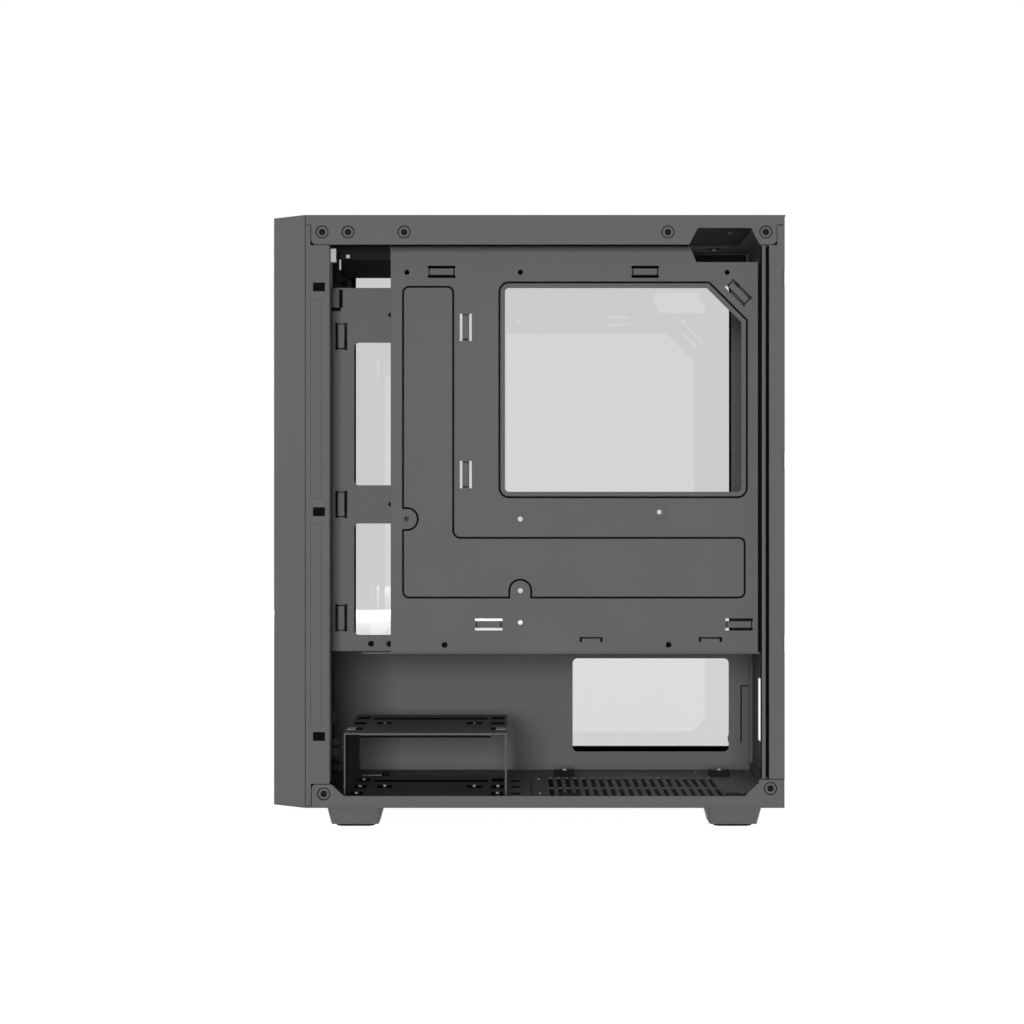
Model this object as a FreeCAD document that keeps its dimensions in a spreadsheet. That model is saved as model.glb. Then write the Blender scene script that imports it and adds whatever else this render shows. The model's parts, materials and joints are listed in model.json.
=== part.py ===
import FreeCAD, Part
import math
import os
import Sketcher

# Computer case, compact tower, without its right side panel.
# All sizes are millimetres. +Z is up, the front faces -Y and the open right side faces +X.
# Positions along the depth are measured back from the chassis front plane, positions across
# the width inward from the open right side, and heights from the floor under the feet.

os.makedirs("parts", exist_ok=True)
doc = FreeCAD.newDocument("ComputerCase")
sheet = doc.addObject("Spreadsheet::Sheet", "Sizes")

# Driving sizes
SIZES = [
    ("chassis_width", 204.0, "steel body, side plane to side plane"),
    ("chassis_depth", 301.0, "steel body, front plane to rear plane"),
    ("chassis_height", 372.5, "steel body, underside to roof"),
    ("foot_height", 12.5, "feet below the steel body"),
    ("steel", 1.0, "sheet thickness"),
    ("seam", 0.4, "open joint between pieces that sit edge to edge"),
    ("fit_gap", 0.3, "clearance around pieces that slide or plug in"),
    ("bezel_depth", 21.6, "plastic front, how far it stands before the steel body"),
    ("bezel_bevel", 17.0, "how far its slanted sides run inboard"),
    ("bezel_wall", 2.4, "moulded wall"),
    ("bezel_lip", 3.1, "slanted wall's rear edge, across"),
    ("bezel_border", 14.0, "plain border around the front intake"),
    ("mesh_lap", 4.0, "intake sheet beyond its opening, each side"),
    ("mesh_slot_wide", 62.0, "intake slot, along the width"),
    ("mesh_slot_tall", 5.0, "intake slot, along the height"),
    ("mesh_slot_gap", 5.0, "web between neighbouring slots of a row"),
    ("mesh_row_pitch", 11.0, "row to row"),
    ("clip_side", 6.0, "square pegs that hold the plastic front"),
    ("clip_length", 9.0, "peg beyond the moulded wall, into the steel front"),
    ("clip_inset", 5.0, "peg axis in from the slanted side's front edge, and from the ends"),
    ("clip_post", 9.0, "side of the moulded post behind a peg"),
    ("rail_top", 18.6, "height of the roof's side rail on the open side"),
    ("rail_bottom", 7.5, "height of the floor's side rail on the open side"),
    ("rail_left", 13.7, "border of the glass side opening"),
    ("post_front", 15.1, "width of the front post on the open side"),
    ("post_foot", 3.8, "width of the front post beside the floor rail"),
    ("post_fold", 12.0, "inward fold of the front post"),
    ("post_rear", 9.8, "width of the rear post's outer face"),
    ("groove_near", 2.1, "outer groove of the rear post"),
    ("hem", 2.3, "folded strip between the grooves"),
    ("groove_far", 3.0, "open joint between the hem and the tray"),
    ("groove_deep", 7.0, "depth of the grooves"),
    ("hem_low", 0.8, "strip below the side plane"),
    ("hook_wide", 7.5, "panel hook hole, along the depth"),
    ("hook_tall", 5.5, "panel hook hole, along the height"),
    ("hook_back", 4.7, "hook holes behind the front plane"),
    ("hook_first", 57.4, "lowest hook hole above the ground"),
    ("hook_pitch", 141.2, "hook hole to hook hole"),
    ("notch_tall", 9.6, "notch in the rear edge"),
    ("notch_deep", 1.2, "notch in the rear edge"),
    ("notch_first", 115.8, "lowest rear notch above the ground"),
    ("notch_pitch", 114.8, "notch to notch"),
    ("corner_tab", 12.4, "posts reach up into the roof rail by this much"),
    ("dimple_radius", 4.1, "dimples for the countersunk rail screws"),
    ("dimple_deep", 0.5, "their depth"),
    ("dimple_hole", 1.5, "their holes"),
    ("dimple_drop", 10.7, "dimples of the roof rail below the top"),
    ("dimple_front", 10.4, "foremost dimple"),
    ("dimple_second", 26.7, "second dimple of the roof rail"),
    ("dimple_third", 61.9, "third dimple of the roof rail"),
    ("dimple_fourth", 227.7, "fourth dimple of the roof rail"),
    ("dimple_rear", 289.2, "rear dimple of the roof rail"),
    ("dimple_floor_front", 11.4, "front dimple of the floor rail"),
    ("dimple_floor_rear", 292.1, "rear dimple of the floor rail"),
    ("dimple_low", 8.8, "front floor dimple above the steel body's underside"),
    ("dimple_rear_low", 12.2, "rear floor dimple above the steel body's underside"),
    ("tab_front", 3.1, "width of the front post's corner tab"),
    ("tab_rear", 4.6, "width of the rear post's corner tab"),
    ("gusset_tall", 7.6, "floor rail's corner plates above the rail"),
    ("gusset_front", 16.4, "front corner plate's end behind the front plane"),
    ("gusset_slope", 7.6, "run of a corner plate's slanted end"),
    ("gusset_rear", 2.7, "rear corner plate's top above the front one's"),
    ("rail_round", 3.5, "rounded corners of the roof rail"),
    ("gusset_round", 2.5, "rounded corner of the front corner plate"),
    ("tray_in", 22.4, "motherboard tray in from the open side"),
    ("tray_front", 52.3, "front edge of the tray"),
    ("tray_rear", 296.0, "rear bend of the tray, behind the rear column of board holes"),
    ("tray_bend", 8.0, "depth of that bend, towards the glass side"),
    ("board_column", 62.6, "front column of board holes"),
    ("row_drop", 33.6, "upper row of board holes below the top"),
    ("column_pitch", 72.39, "front to middle column"),
    ("column_span", 154.94, "middle to rear column"),
    ("column_short", 22.86, "rear column to the extra hole in the upper row"),
    ("row_span", 157.48, "upper to middle row"),
    ("row_pitch", 45.72, "middle to lower row"),
    ("slot_pitch", 20.32, "expansion slot to expansion slot"),
    ("board_hole", 1.6, "radius of a board hole"),
    ("ledge_hole", 2.0, "radius of a fixing hole in sheet"),
    ("guide_hole_back", 223.7, "ringed guide hole"),
    ("guide_hole_drop", 186.6, "ringed guide hole below the top"),
    ("guide_ring", 4.4, "radius of its raised ring"),
    ("cooler_front", 125.2, "processor cut-out, front edge"),
    ("cooler_long", 150.9, "processor cut-out, along the depth"),
    ("cooler_drop", 43.6, "processor cut-out, upper edge below the top"),
    ("cooler_tall", 130.1, "processor cut-out, along the height"),
    ("cooler_bevel", 22.0, "its slanted corner"),
    ("cooler_round", 2.5, "its corner radius"),
    ("groove_out", 3.0, "pressed line outside the cut-out"),
    ("groove_wide", 1.0, "pressed line width"),
    ("post_line_deep", 0.25, "depth of the front post's pressed lines"),
    ("groove_cut", 0.6, "pressed line depth"),
    ("panel_front", 59.7, "angled pressed field, front edge"),
    ("panel_rear", 278.7, "angled pressed field, rear edge"),
    ("panel_drop", 42.4, "angled pressed field, upper edge below the top"),
    ("panel_tall", 199.3, "angled pressed field, height"),
    ("panel_arm", 33.0, "width of its upright arm"),
    ("panel_bar", 39.1, "height of its level arm"),
    ("panel_round", 4.2, "its corner radius"),
    ("panel_notch", 6.5, "relief around the board holes on its edge"),
    ("tie_long", 17.5, "cable tie slot length"),
    ("tie_slot", 1.7, "cable tie slot width"),
    ("tie_bar", 4.3, "raised bar between two tie slots"),
    ("tie_rise", 1.2, "rise of that bar"),
    ("tie_high_drop", 33.3, "upper level ties below the top"),
    ("tie_high_front", 84.8, "first upper tie"),
    ("tie_high_rear", 214.7, "second upper tie"),
    ("tie_low_up", 17.7, "lower level ties above the power supply cover"),
    ("tie_low_front", 114.8, "first lower tie"),
    ("tie_low_rear", 274.6, "second lower tie"),
    ("tie_column", 100.2, "upright ties beside the processor cut-out"),
    ("tie_column_drop", 68.7, "upper one below the top"),
    ("tie_column_pitch", 94.0, "upper to lower one"),
    ("tie_corner_back", 274.3, "slanted tie at the cut-out's corner"),
    ("tie_corner_drop", 46.5, "it lies below the top by this much"),
    ("lock_front", 180.2, "first locking slit near the tray's lower edge"),
    ("lock_rear", 256.3, "second locking slit"),
    ("lock_up", 9.1, "locking slits above the power supply cover"),
    ("lock_long", 13.5, "locking slit length"),
    ("screw_front", 86.7, "first screw at the tray's lower edge"),
    ("screw_rear", 229.6, "second screw"),
    ("screw_up", 4.7, "these screws above the power supply cover"),
    ("power_notch_front", 243.0, "processor power cable notch in the tray's top edge"),
    ("power_notch_drop", 27.1, "bottom of that notch below the top"),
    ("power_notch_slope", 4.5, "run of its slanted end"),
    ("cutout_front", 243.8, "matching cut-out in the roof rail"),
    ("cutout_rear", 282.6, "its rear end"),
    ("cutout_deep", 10.4, "its height"),
    ("cutout_slope", 5.5, "run of its slanted ends"),
    ("plate_in", 34.4, "front cable plate in from the open side"),
    ("plate_drop", 42.4, "its upper edge below the top"),
    ("plate_tail", 12.0, "it reaches behind the tray by this much"),
    ("plate_tie_back", 19.8, "its cable ties"),
    ("plate_tie_drop", 73.6, "highest tie below the top"),
    ("plate_tie_up", 21.4, "lowest tie above the power supply cover"),
    ("plate_hole_front", 39.0, "first hole at the cable plate's lower edge"),
    ("plate_hole_rear", 50.8, "second hole"),
    ("window_front", 28.2, "cable windows, front edge"),
    ("window_up", 10.4, "lower cable window above the power supply cover"),
    ("window_tall", 71.7, "lower cable window"),
    ("window_bar", 24.6, "bar between the two cable windows"),
    ("window_high", 91.8, "upper cable window"),
    ("window_round", 3.0, "corner radius of the cable windows"),
    ("shroud_top", 108.9, "power supply cover above the ground"),
    ("shroud_front", 34.3, "front edge of its upper sheet"),
    ("pass_wide", 16.0, "cable passes in the upper sheet, across"),
    ("pass_long", 46.0, "cable pass length"),
    ("pass_first", 44.0, "first pass behind the tray's front edge"),
    ("pass_pitch", 76.0, "pass to pass"),
    ("pass_in", 14.0, "passes beside the tray"),
    ("shroud_in", 4.0, "its glass-side wall in from the left plane"),
    ("shroud_window_front", 173.2, "window in that wall"),
    ("shroud_window_long", 112.0, "window length"),
    ("shroud_window_up", 26.6, "window above the ground"),
    ("shroud_window_tall", 66.8, "window height"),
    ("shroud_window_round", 3.6, "window corner radius"),
    ("supply_width", 150.0, "power supply, across"),
    ("supply_height", 86.0, "power supply, height"),
    ("supply_in", 96.6, "its middle in from the open side"),
    ("pad_height", 4.0, "rubber rests under the power supply"),
    ("pad_long", 14.0, "rubber rest length"),
    ("pad_wide", 10.0, "rubber rest width"),
    ("pad_front", 166.4, "front pair of rests"),
    ("pad_span", 108.3, "front to rear pair"),
    ("supply_screw_x", 138.0, "power supply screws, across"),
    ("supply_screw_z", 64.0, "power supply screws, up and down"),
    ("screw_hole", 2.0, "radius of a power supply or fan screw hole"),
    ("supply_open", 106.0, "tall part of the power supply opening"),
    ("supply_lip", 3.9, "sheet left below and above the opening's tall part"),
    ("supply_ear", 140.0, "low part of the opening, across"),
    ("supply_ear_tall", 44.0, "its height"),
    ("rear_step", 2.0, "middle field of the rear sheet, pressed outward"),
    ("rear_rim", 6.0, "flat rim around that field at the glass side"),
    ("shield_long", 158.75, "port plate opening, height"),
    ("shield_wide", 44.45, "port plate opening, width"),
    ("shield_lift", 8.7, "opening's edge above the tray sheet"),
    ("shield_drop", 151.2, "opening's lower edge below the upper row of board holes"),
    ("slot_drop", 14.6, "first expansion slot below the middle row"),
    ("slot_tall", 13.0, "slot opening"),
    ("slot_start", 34.0, "slot opening's end in from the open side"),
    ("slot_long", 104.0, "slot opening, across"),
    ("cover_wide", 18.2, "slot cover"),
    ("cover_start", 28.0, "slot cover's foot in from the open side"),
    ("cover_long", 120.0, "slot cover without its tab"),
    ("cover_tab", 11.0, "slot cover's screw tab"),
    ("cover_foot", 10.2, "slot cover's narrow foot"),
    ("cover_foot_long", 8.0, "its length"),
    ("shelf_out", 12.0, "screw shelf behind the rear sheet"),
    ("shelf_wide", 14.0, "cover over the tabs"),
    ("fan_screws", 105.0, "fan screw pitch"),
    ("fan_in", 138.0, "rear fan's middle in from the open side"),
    ("fan_drop", 80.0, "rear fan's middle below the top"),
    ("grille_hub", 17.0, "inner radius of the first ring slot"),
    ("grille_slot", 9.0, "ring slot width"),
    ("grille_web", 4.5, "sheet between ring slots"),
    ("grille_spoke", 6.0, "spoke width"),
    ("front_fan_radius", 56.5, "opening for a front fan"),
    ("front_fan_pitch", 120.0, "front fan to front fan"),
    ("roof_fan_front", 74.0, "first roof fan's vent field"),
    ("roof_fan_pitch", 120.0, "vent field to vent field"),
    ("vent_long", 84.0, "roof vent slot, across"),
    ("vent_wide", 4.2, "roof vent slot"),
    ("vent_pitch", 8.4, "roof vent slot to slot"),
    ("floor_vent_front", 154.6, "floor vents under the power supply"),
    ("floor_vent_long", 53.0, "floor vent, across"),
    ("floor_vent_wide", 3.0, "floor vent"),
    ("floor_vent_web", 4.0, "sheet between the two columns of floor vents"),
    ("floor_vent_pitch", 5.8, "floor vent to vent"),
    ("filter_thick", 0.6, "dust filter sheets"),
    ("filter_lap", 5.0, "dust filter beyond the vents"),
    ("cage_in", 25.0, "drive cage in from the open side"),
    ("cage_front", 22.2, "drive cage, front wall"),
    ("cage_long", 104.0, "drive cage, along the depth"),
    ("cage_deep", 130.0, "drive cage, across"),
    ("cage_tall", 43.5, "drive cage height"),
    ("cage_lip", 1.3, "lip under its top's near edge"),
    ("cage_lip_in", 10.0, "that lip in from the walls"),
    ("cage_side_slot_edge", 6.2, "middle of the slots beside its walls, in from the walls"),
    ("cage_slot_in", 122.0, "long slot across its top, in from the open side"),
    ("cage_slot_long", 77.6, "that slot's length"),
    ("cage_slot_wide", 6.0, "that slot's width"),
    ("cage_side_slot_in", 54.0, "first slot beside its walls, in from the open side"),
    ("cage_side_slot_pitch", 37.5, "slot to slot beside its walls"),
    ("cage_side_slot_wide", 10.0, "slot beside its walls, across"),
    ("cage_side_slot_long", 8.0, "slot beside its walls, along the depth"),
    ("cage_hole_in", 92.0, "winged drive holes, in from the open side"),
    ("cage_wing", 3.4, "wing of a winged hole, along the depth"),
    ("cage_wing_wide", 6.0, "wing of a winged hole, across"),
    ("cage_wing_gap", 2.0, "bridge between two wings"),
    ("cage_hole_front", 44.5, "first winged hole"),
    ("cage_hole_span", 60.0, "winged hole to winged hole"),
    ("drive_hole_up", 6.35, "drive side holes above the cage floor"),
    ("drive_hole_span", 101.6, "drive side hole to side hole"),
    ("foot_long", 35.3, "foot top, along the depth"),
    ("foot_wide", 32.0, "foot top, across"),
    ("foot_taper", 2.8, "foot narrows by this much each side"),
    ("foot_bevel", 3.0, "foot's bevelled corners"),
    ("foot_front", 13.1, "front feet behind the front plane"),
    ("foot_rear", 251.7, "rear feet behind the front plane"),
    ("foot_in", 3.0, "feet in from the side planes"),
    ("sole", 1.6, "rubber sole thickness"),
    ("sole_inset", 3.0, "sole in from the foot's edge"),
    ("glass_thick", 4.0, "glass side panel"),
    ("glass_corner", 1.6, "bevelled corners of the glass"),
    ("glass_gap", 1.2, "rubber rings between glass and steel"),
    ("knob_height", 6.0, "glass screw head"),
    ("knob_radius", 7.0, "glass screw head"),
    ("stud_radius", 2.0, "glass screw shank"),
    ("stud_end", 2.0, "glass screw shank beyond the steel"),
    ("knob_inset", 9.0, "glass screws in from the glass edges"),
    ("ring_radius", 6.5, "rubber ring"),
    ("port_front", 33.0, "middle line of ports and buttons"),
    ("power_in", 36.0, "power button in from the open side"),
    ("power_radius", 7.5, "power button"),
    ("reset_in", 56.0, "reset button in from the open side"),
    ("reset_radius", 3.0, "reset button"),
    ("button_travel", 1.5, "button stroke"),
    ("button_flange", 1.0, "collar under a button"),
    ("switch_side", 6.0, "switch under a button"),
    ("jack_in", 70.0, "first sound jack in from the open side"),
    ("jack_pitch", 13.0, "jack to jack"),
    ("jack_radius", 3.2, "jack barrel"),
    ("usb_in", 98.0, "first data port in from the open side"),
    ("usb_pitch", 18.0, "port to port"),
    ("usb_long", 13.6, "port shell, across"),
    ("usb_wide", 6.2, "port shell, along the depth"),
    ("usb_shell", 0.6, "port shell thickness"),
    ("jack_bore", 1.8, "jack bore radius"),
    ("stem_side", 3.6, "square stem under a button"),
    ("plunger_side", 3.0, "switch plunger"),
    ("plunger_tall", 2.5, "switch plunger above the switch"),
    ("switch_tall", 6.2, "switch with its plunger"),
    ("post_side", 4.4, "square posts that carry the port board"),
    ("board_drop", 12.0, "port board below the roof sheet"),
    ("bracket_drop", 24.0, "port bracket below the roof sheet"),
    ("board_wide", 30.0, "port board, along the depth"),
    ("board_thick", 1.6, "port board"),
    ("board_margin", 12.0, "port board beyond the outer ports"),
    ("plug_wide", 9.0, "header block below the port board"),
    ("plug_tall", 8.0, "header block below the port board"),
    ("bracket_fold", 2.6, "port bracket's flange under the roof"),
]


def fill_sheet():
    """One row for each size: its name, its number and what it measures."""
    for row, (name, value, note) in enumerate(SIZES, start=1):
        sheet.set("A%d" % row, name)
        sheet.set("B%d" % row, repr(value))
        sheet.setAlias("B%d" % row, name)
        sheet.set("C%d" % row, note)
    doc.recompute()


class Length:
    """A size from the sheet, or a sum of such sizes, with the formula that binds a feature to it."""

    def __init__(self, value, formula):
        self.value = float(value)
        self.formula = formula

    def __add__(self, other):
        other = length(other)
        return Length(self.value + other.value, "(%s + %s)" % (self.formula, other.formula))

    def __radd__(self, other):
        return length(other) + self

    def __sub__(self, other):
        other = length(other)
        return Length(self.value - other.value, "(%s - %s)" % (self.formula, other.formula))

    def __rsub__(self, other):
        return length(other) - self

    def __mul__(self, other):
        other = length(other)
        return Length(self.value * other.value, "(%s * %s)" % (self.formula, other.formula))

    def __rmul__(self, other):
        return length(other) * self

    def __truediv__(self, other):
        other = length(other)
        return Length(self.value / other.value, "(%s / %s)" % (self.formula, other.formula))

    def __neg__(self):
        return Length(-self.value, "(0 - %s)" % self.formula)


def length(number):
    """A plain number as a length; a length stays as it is."""
    if isinstance(number, Length):
        return number
    return Length(number, repr(float(number)))


class Sheet:
    """The sizes by name."""

    def __getattr__(self, name):
        return Length(sheet.get(name), "Sizes." + name)


fill_sheet()
s = Sheet()

# Planes that everything is placed from
case_width = s.chassis_width + s.glass_gap + s.glass_thick + s.knob_height
case_depth = s.bezel_depth + s.chassis_depth + s.rear_step + s.shelf_out
right = case_width / 2
left = right - s.chassis_width
front = s.bezel_depth - case_depth / 2
back = front + s.chassis_depth
base = s.foot_height
top = base + s.chassis_height
floor_top = base + s.steel
roof_under = top - s.steel
tray_x = right - s.tray_in
step_out = back + s.rear_step
board_row = top - s.row_drop
fan_height = top - s.fan_drop
guide_height = top - s.guide_hole_drop
tie_corner = top - s.tie_corner_drop
lock_height = s.shroud_top + s.lock_up
ledge_height = s.shroud_top + s.screw_up
power_notch = top - s.power_notch_drop
plate_top = top - s.plate_drop
gap_front = back - s.post_rear - s.groove_near - s.hem - s.groove_far
rear_plate_top = base + s.rail_bottom + s.gusset_tall + s.gusset_rear
nodes = []

# Vent slots in a row
ROOF_VENTS = 11
FLOOR_VENTS = 20
COVER_VENTS = 12
INTAKE_ROWS = 30

# Flat sides of small round shapes
ROUND_SIDES = 16
SMALL_SIDES = 8


def depth(distance):
    """A place behind the chassis front plane."""
    return front + distance


def inboard(distance):
    """A place inward from the open right side."""
    return right - distance


# Helpers for bodies, sketches and features
def origin_plane(body, role):
    for feature in body.Origin.OriginFeatures:
        if feature.Role == role:
            return feature
    raise ValueError(role)


def new_body(name):
    body = doc.addObject("PartDesign::Body", name)
    body.Label = name
    nodes.append(body)
    return body


def new_sketch(body, plane, at, name):
    """A sketch on one of the body's planes: XY is seen from above, XZ and YZ show width or depth across.
    The place along the normal is given in the part's frame; the XZ plane's own normal faces -Y."""
    sketch = body.newObject("Sketcher::SketchObject", name)
    sketch.AttachmentSupport = (origin_plane(body, plane + "_Plane"), [""])
    sketch.MapMode = "FlatFace"
    at = length(at)
    if plane == "XZ":
        at = -at
    sketch.AttachmentOffset = FreeCAD.Placement(FreeCAD.Vector(0, 0, at.value), FreeCAD.Rotation())
    sketch.setExpression("AttachmentOffset.Base.z", at.formula)
    return sketch


def hold(sketch, kind, size, *where):
    """A dimension in a sketch, bound to its size."""
    number = sketch.addConstraint(Sketcher.Constraint(kind, *where, size.value))
    sketch.setExpression("Constraints[%d]" % number, size.formula)


def pin_point(sketch, edge, end, u, v):
    hold(sketch, "DistanceX", length(u), -1, 1, edge, end)
    hold(sketch, "DistanceY", length(v), -1, 1, edge, end)


def sign(number):
    if abs(number) < 1e-9:
        return 0
    return 1 if number > 0 else -1


def outline(sketch, corners):
    """A closed outline. A corner is (u, v) or (u, v, radius); rounded corners join level and upright edges."""
    corners = [tuple(length(x) for x in corner) for corner in corners]
    count = len(corners)
    ends = []
    for i, corner in enumerate(corners):
        before = corners[i - 1]
        after = corners[(i + 1) % count]
        if len(corner) == 2:
            ends.append((corner[:2], corner[:2], None))
            continue
        u, v, radius = corner
        du_in, dv_in = sign(u.value - before[0].value), sign(v.value - before[1].value)
        du_out, dv_out = sign(after[0].value - u.value), sign(after[1].value - v.value)
        come = (u - du_in * radius, v - dv_in * radius)
        leave = (u + du_out * radius, v + dv_out * radius)
        middle = (u + (du_out - du_in) * radius, v + (dv_out - dv_in) * radius)
        turn = du_in * dv_out - dv_in * du_out
        ends.append((come, leave, (middle, radius, turn)))
    lines = []
    for i in range(count):
        start = ends[i][1]
        end = ends[(i + 1) % count][0]
        line = sketch.addGeometry(Part.LineSegment(
            FreeCAD.Vector(start[0].value, start[1].value, 0),
            FreeCAD.Vector(end[0].value, end[1].value, 0)), False)
        lines.append(line)
        pin_point(sketch, line, 1, *start)
    for i in range(count):
        come, leave, bend = ends[i]
        before = lines[i - 1]
        after = lines[i]
        if bend is None:
            sketch.addConstraint(Sketcher.Constraint("Coincident", before, 2, after, 1))
            continue
        pin_point(sketch, before, 2, *come)
        middle, radius, turn = bend
        centre = FreeCAD.Vector(middle[0].value, middle[1].value, 0)
        angle_come = math.atan2(come[1].value - centre.y, come[0].value - centre.x)
        angle_leave = math.atan2(leave[1].value - centre.y, leave[0].value - centre.x)
        circle = Part.Circle(centre, FreeCAD.Vector(0, 0, 1), radius.value)
        if turn > 0:
            arc = sketch.addGeometry(Part.ArcOfCircle(circle, angle_come, angle_leave), False)
            first, second = 1, 2
        else:
            arc = sketch.addGeometry(Part.ArcOfCircle(circle, angle_leave, angle_come), False)
            first, second = 2, 1
        sketch.addConstraint(Sketcher.Constraint("Coincident", before, 2, arc, first))
        sketch.addConstraint(Sketcher.Constraint("Coincident", after, 1, arc, second))
        hold(sketch, "Radius", radius, arc)


def box(sketch, u0, v0, u1, v1, radius=None):
    """A rectangle between two corners, with rounded corners if a radius is given."""
    corners = [(u0, v0), (u1, v0), (u1, v1), (u0, v1)]
    if radius is not None:
        corners = [corner + (radius,) for corner in corners]
    outline(sketch, corners)


def middle_box(sketch, u, v, wide, tall, radius=None):
    """A rectangle about its middle."""
    u, v, wide, tall = length(u), length(v), length(wide), length(tall)
    box(sketch, u - wide / 2, v - tall / 2, u + wide / 2, v + tall / 2, radius)


def circle(sketch, u, v, radius):
    u, v, radius = length(u), length(v), length(radius)
    edge = sketch.addGeometry(Part.Circle(
        FreeCAD.Vector(u.value, v.value, 0), FreeCAD.Vector(0, 0, 1), radius.value), False)
    hold(sketch, "Radius", radius, edge)
    pin_point(sketch, edge, 3, u, v)


def many_sided(sketch, u, v, radius, sides):
    """A regular polygon for a small round shape."""
    u, v, radius = length(u), length(v), length(radius)
    corners = []
    for i in range(sides):
        turn = 2 * math.pi * (i + 0.5) / sides
        corners.append((u + radius * math.cos(turn), v + radius * math.sin(turn)))
    outline(sketch, corners)


def dimples(body, places, name):
    """Round dimples with screw holes in a rail on the open side."""
    sketch = new_sketch(body, "YZ", right, name)
    for y, z in places:
        many_sided(sketch, y, z, s.dimple_radius, ROUND_SIDES)
    cut(body, sketch, 2 * s.dimple_deep)
    sketch = new_sketch(body, "YZ", inboard(s.steel / 2), name + "Hole")
    for y, z in places:
        many_sided(sketch, y, z, s.dimple_hole, SMALL_SIDES)
    cut(body, sketch, 3 * s.steel)


def pad(body, sketch, thick, backward=False):
    """Material from the sketch along its normal, or against it."""
    feature = body.newObject("PartDesign::Pad", sketch.Name + "Pad")
    feature.Profile = sketch
    feature.Length = length(thick).value
    feature.setExpression("Length", length(thick).formula)
    feature.Reversed = backward
    body.Tip = feature
    doc.recompute([body])
    return feature


def cut(body, sketch, thick):
    """A pocket, half to each side of its sketch. The volume must fall."""
    before = body.Shape.Volume
    feature = body.newObject("PartDesign::Pocket", sketch.Name + "Cut")
    feature.Profile = sketch
    feature.SideType = "Symmetric"
    feature.Length = length(thick).value
    feature.setExpression("Length", length(thick).formula)
    body.Tip = feature
    doc.recompute([body])
    if body.Shape.Volume >= before:
        raise RuntimeError(sketch.Name + " removed nothing")
    return feature


def repeat(body, feature, direction, pitch, count):
    """The feature again and again along the body's own axis."""
    pattern = body.newObject("PartDesign::LinearPattern", feature.Name + "Row")
    pattern.Originals = [feature]
    pattern.Direction = (origin_plane(body, direction + "_Axis"), [""])
    pattern.Occurrences = count
    pattern.setExpression("Length", ((count - 1) * pitch).formula)
    body.Tip = pattern
    doc.recompute([body])
    return pattern


def tie_slots(sketch, u, v, upright):
    """Two parallel slots for a cable tie."""
    shift = (s.tie_bar + s.tie_slot) / 2
    for side in (-1, 1):
        if upright:
            middle_box(sketch, u + side * shift, v, s.tie_slot, s.tie_long)
        else:
            middle_box(sketch, u, v + side * shift, s.tie_long, s.tie_slot)


def tie_bars(body, sheet_x, places, name):
    """The raised bars between the tie slots."""
    sketch = new_sketch(body, "YZ", sheet_x, name)
    for u, v, upright in places:
        if upright:
            middle_box(sketch, u, v, s.tie_bar - s.seam, s.tie_long - 2 * s.tie_rise)
        else:
            middle_box(sketch, u, v, s.tie_long - 2 * s.tie_rise, s.tie_bar - s.seam)
    pad(body, sketch, s.tie_rise)


# Roof: a sheet with a folded rail along each side
def make_roof():
    body = new_body("roof")
    sketch = new_sketch(body, "XY", roof_under, "RoofSheet")
    box(sketch, left, front, right, back + s.seam)
    pad(body, sketch, s.steel)
    sketch = new_sketch(body, "YZ", inboard(s.steel), "RoofRailRight")
    low = top - s.rail_top
    notch_top = low + s.corner_tab
    cut_top = low + s.cutout_deep
    front_notch = front + s.tab_front + s.seam
    rear_notch = back - s.tab_rear - s.seam
    cut_a = depth(s.cutout_front)
    cut_b = depth(s.cutout_rear)
    outline(sketch, [
        (front, notch_top), (front_notch, notch_top), (front_notch, low, s.rail_round),
        (cut_a - s.cutout_slope / 2, low), (cut_a + s.cutout_slope / 2, cut_top),
        (cut_b - s.cutout_slope / 2, cut_top), (cut_b + s.cutout_slope / 2, low),
        (rear_notch, low, s.rail_round), (rear_notch, notch_top), (back, notch_top),
        (back, roof_under), (front, roof_under)])
    pad(body, sketch, s.steel)
    screw_row = top - s.dimple_drop
    screws = (s.dimple_front, s.dimple_second, s.dimple_third, s.dimple_fourth, s.dimple_rear)
    dimples(body, [(depth(place), screw_row) for place in screws], "RoofDimples")
    sketch = new_sketch(body, "YZ", left, "RoofRailLeft")
    box(sketch, front, top - s.rail_left, back, roof_under)
    pad(body, sketch, s.steel)
    sketch = new_sketch(body, "XY", roof_under + s.steel / 2, "RoofPorts")
    row = depth(s.port_front)
    circle(sketch, inboard(s.power_in), row, s.power_radius + s.fit_gap)
    many_sided(sketch, inboard(s.reset_in), row, s.reset_radius + s.fit_gap, ROUND_SIDES)
    for i in range(2):
        many_sided(sketch, inboard(s.jack_in + i * s.jack_pitch), row, s.jack_radius + s.fit_gap, ROUND_SIDES)
        middle_box(sketch, inboard(s.usb_in + i * s.usb_pitch), row,
                   s.usb_long + 2 * s.fit_gap, s.usb_wide + 2 * s.fit_gap)
    cut(body, sketch, 3 * s.steel)
    middle = (left + right) / 2
    for i, name in enumerate(("RoofVentFront", "RoofVentRear")):
        start = depth(s.roof_fan_front + i * s.roof_fan_pitch)
        sketch = new_sketch(body, "XY", roof_under + s.steel / 2, name)
        middle_box(sketch, middle, start + s.vent_wide / 2, s.vent_long, s.vent_wide)
        first = cut(body, sketch, 3 * s.steel)
        repeat(body, first, "Y", s.vent_pitch, ROOF_VENTS)
    sketch = new_sketch(body, "XY", roof_under + s.steel / 2, "RoofFanHoles")
    span = (ROOF_VENTS - 1) * s.vent_pitch + s.vent_wide
    for i in range(2):
        centre = depth(s.roof_fan_front + i * s.roof_fan_pitch) + span / 2
        for du in (-1, 1):
            for dv in (-1, 1):
                circle(sketch, middle + du * s.fan_screws / 2, centre + dv * s.fan_screws / 2, s.screw_hole)
    cut(body, sketch, 3 * s.steel)


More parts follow.
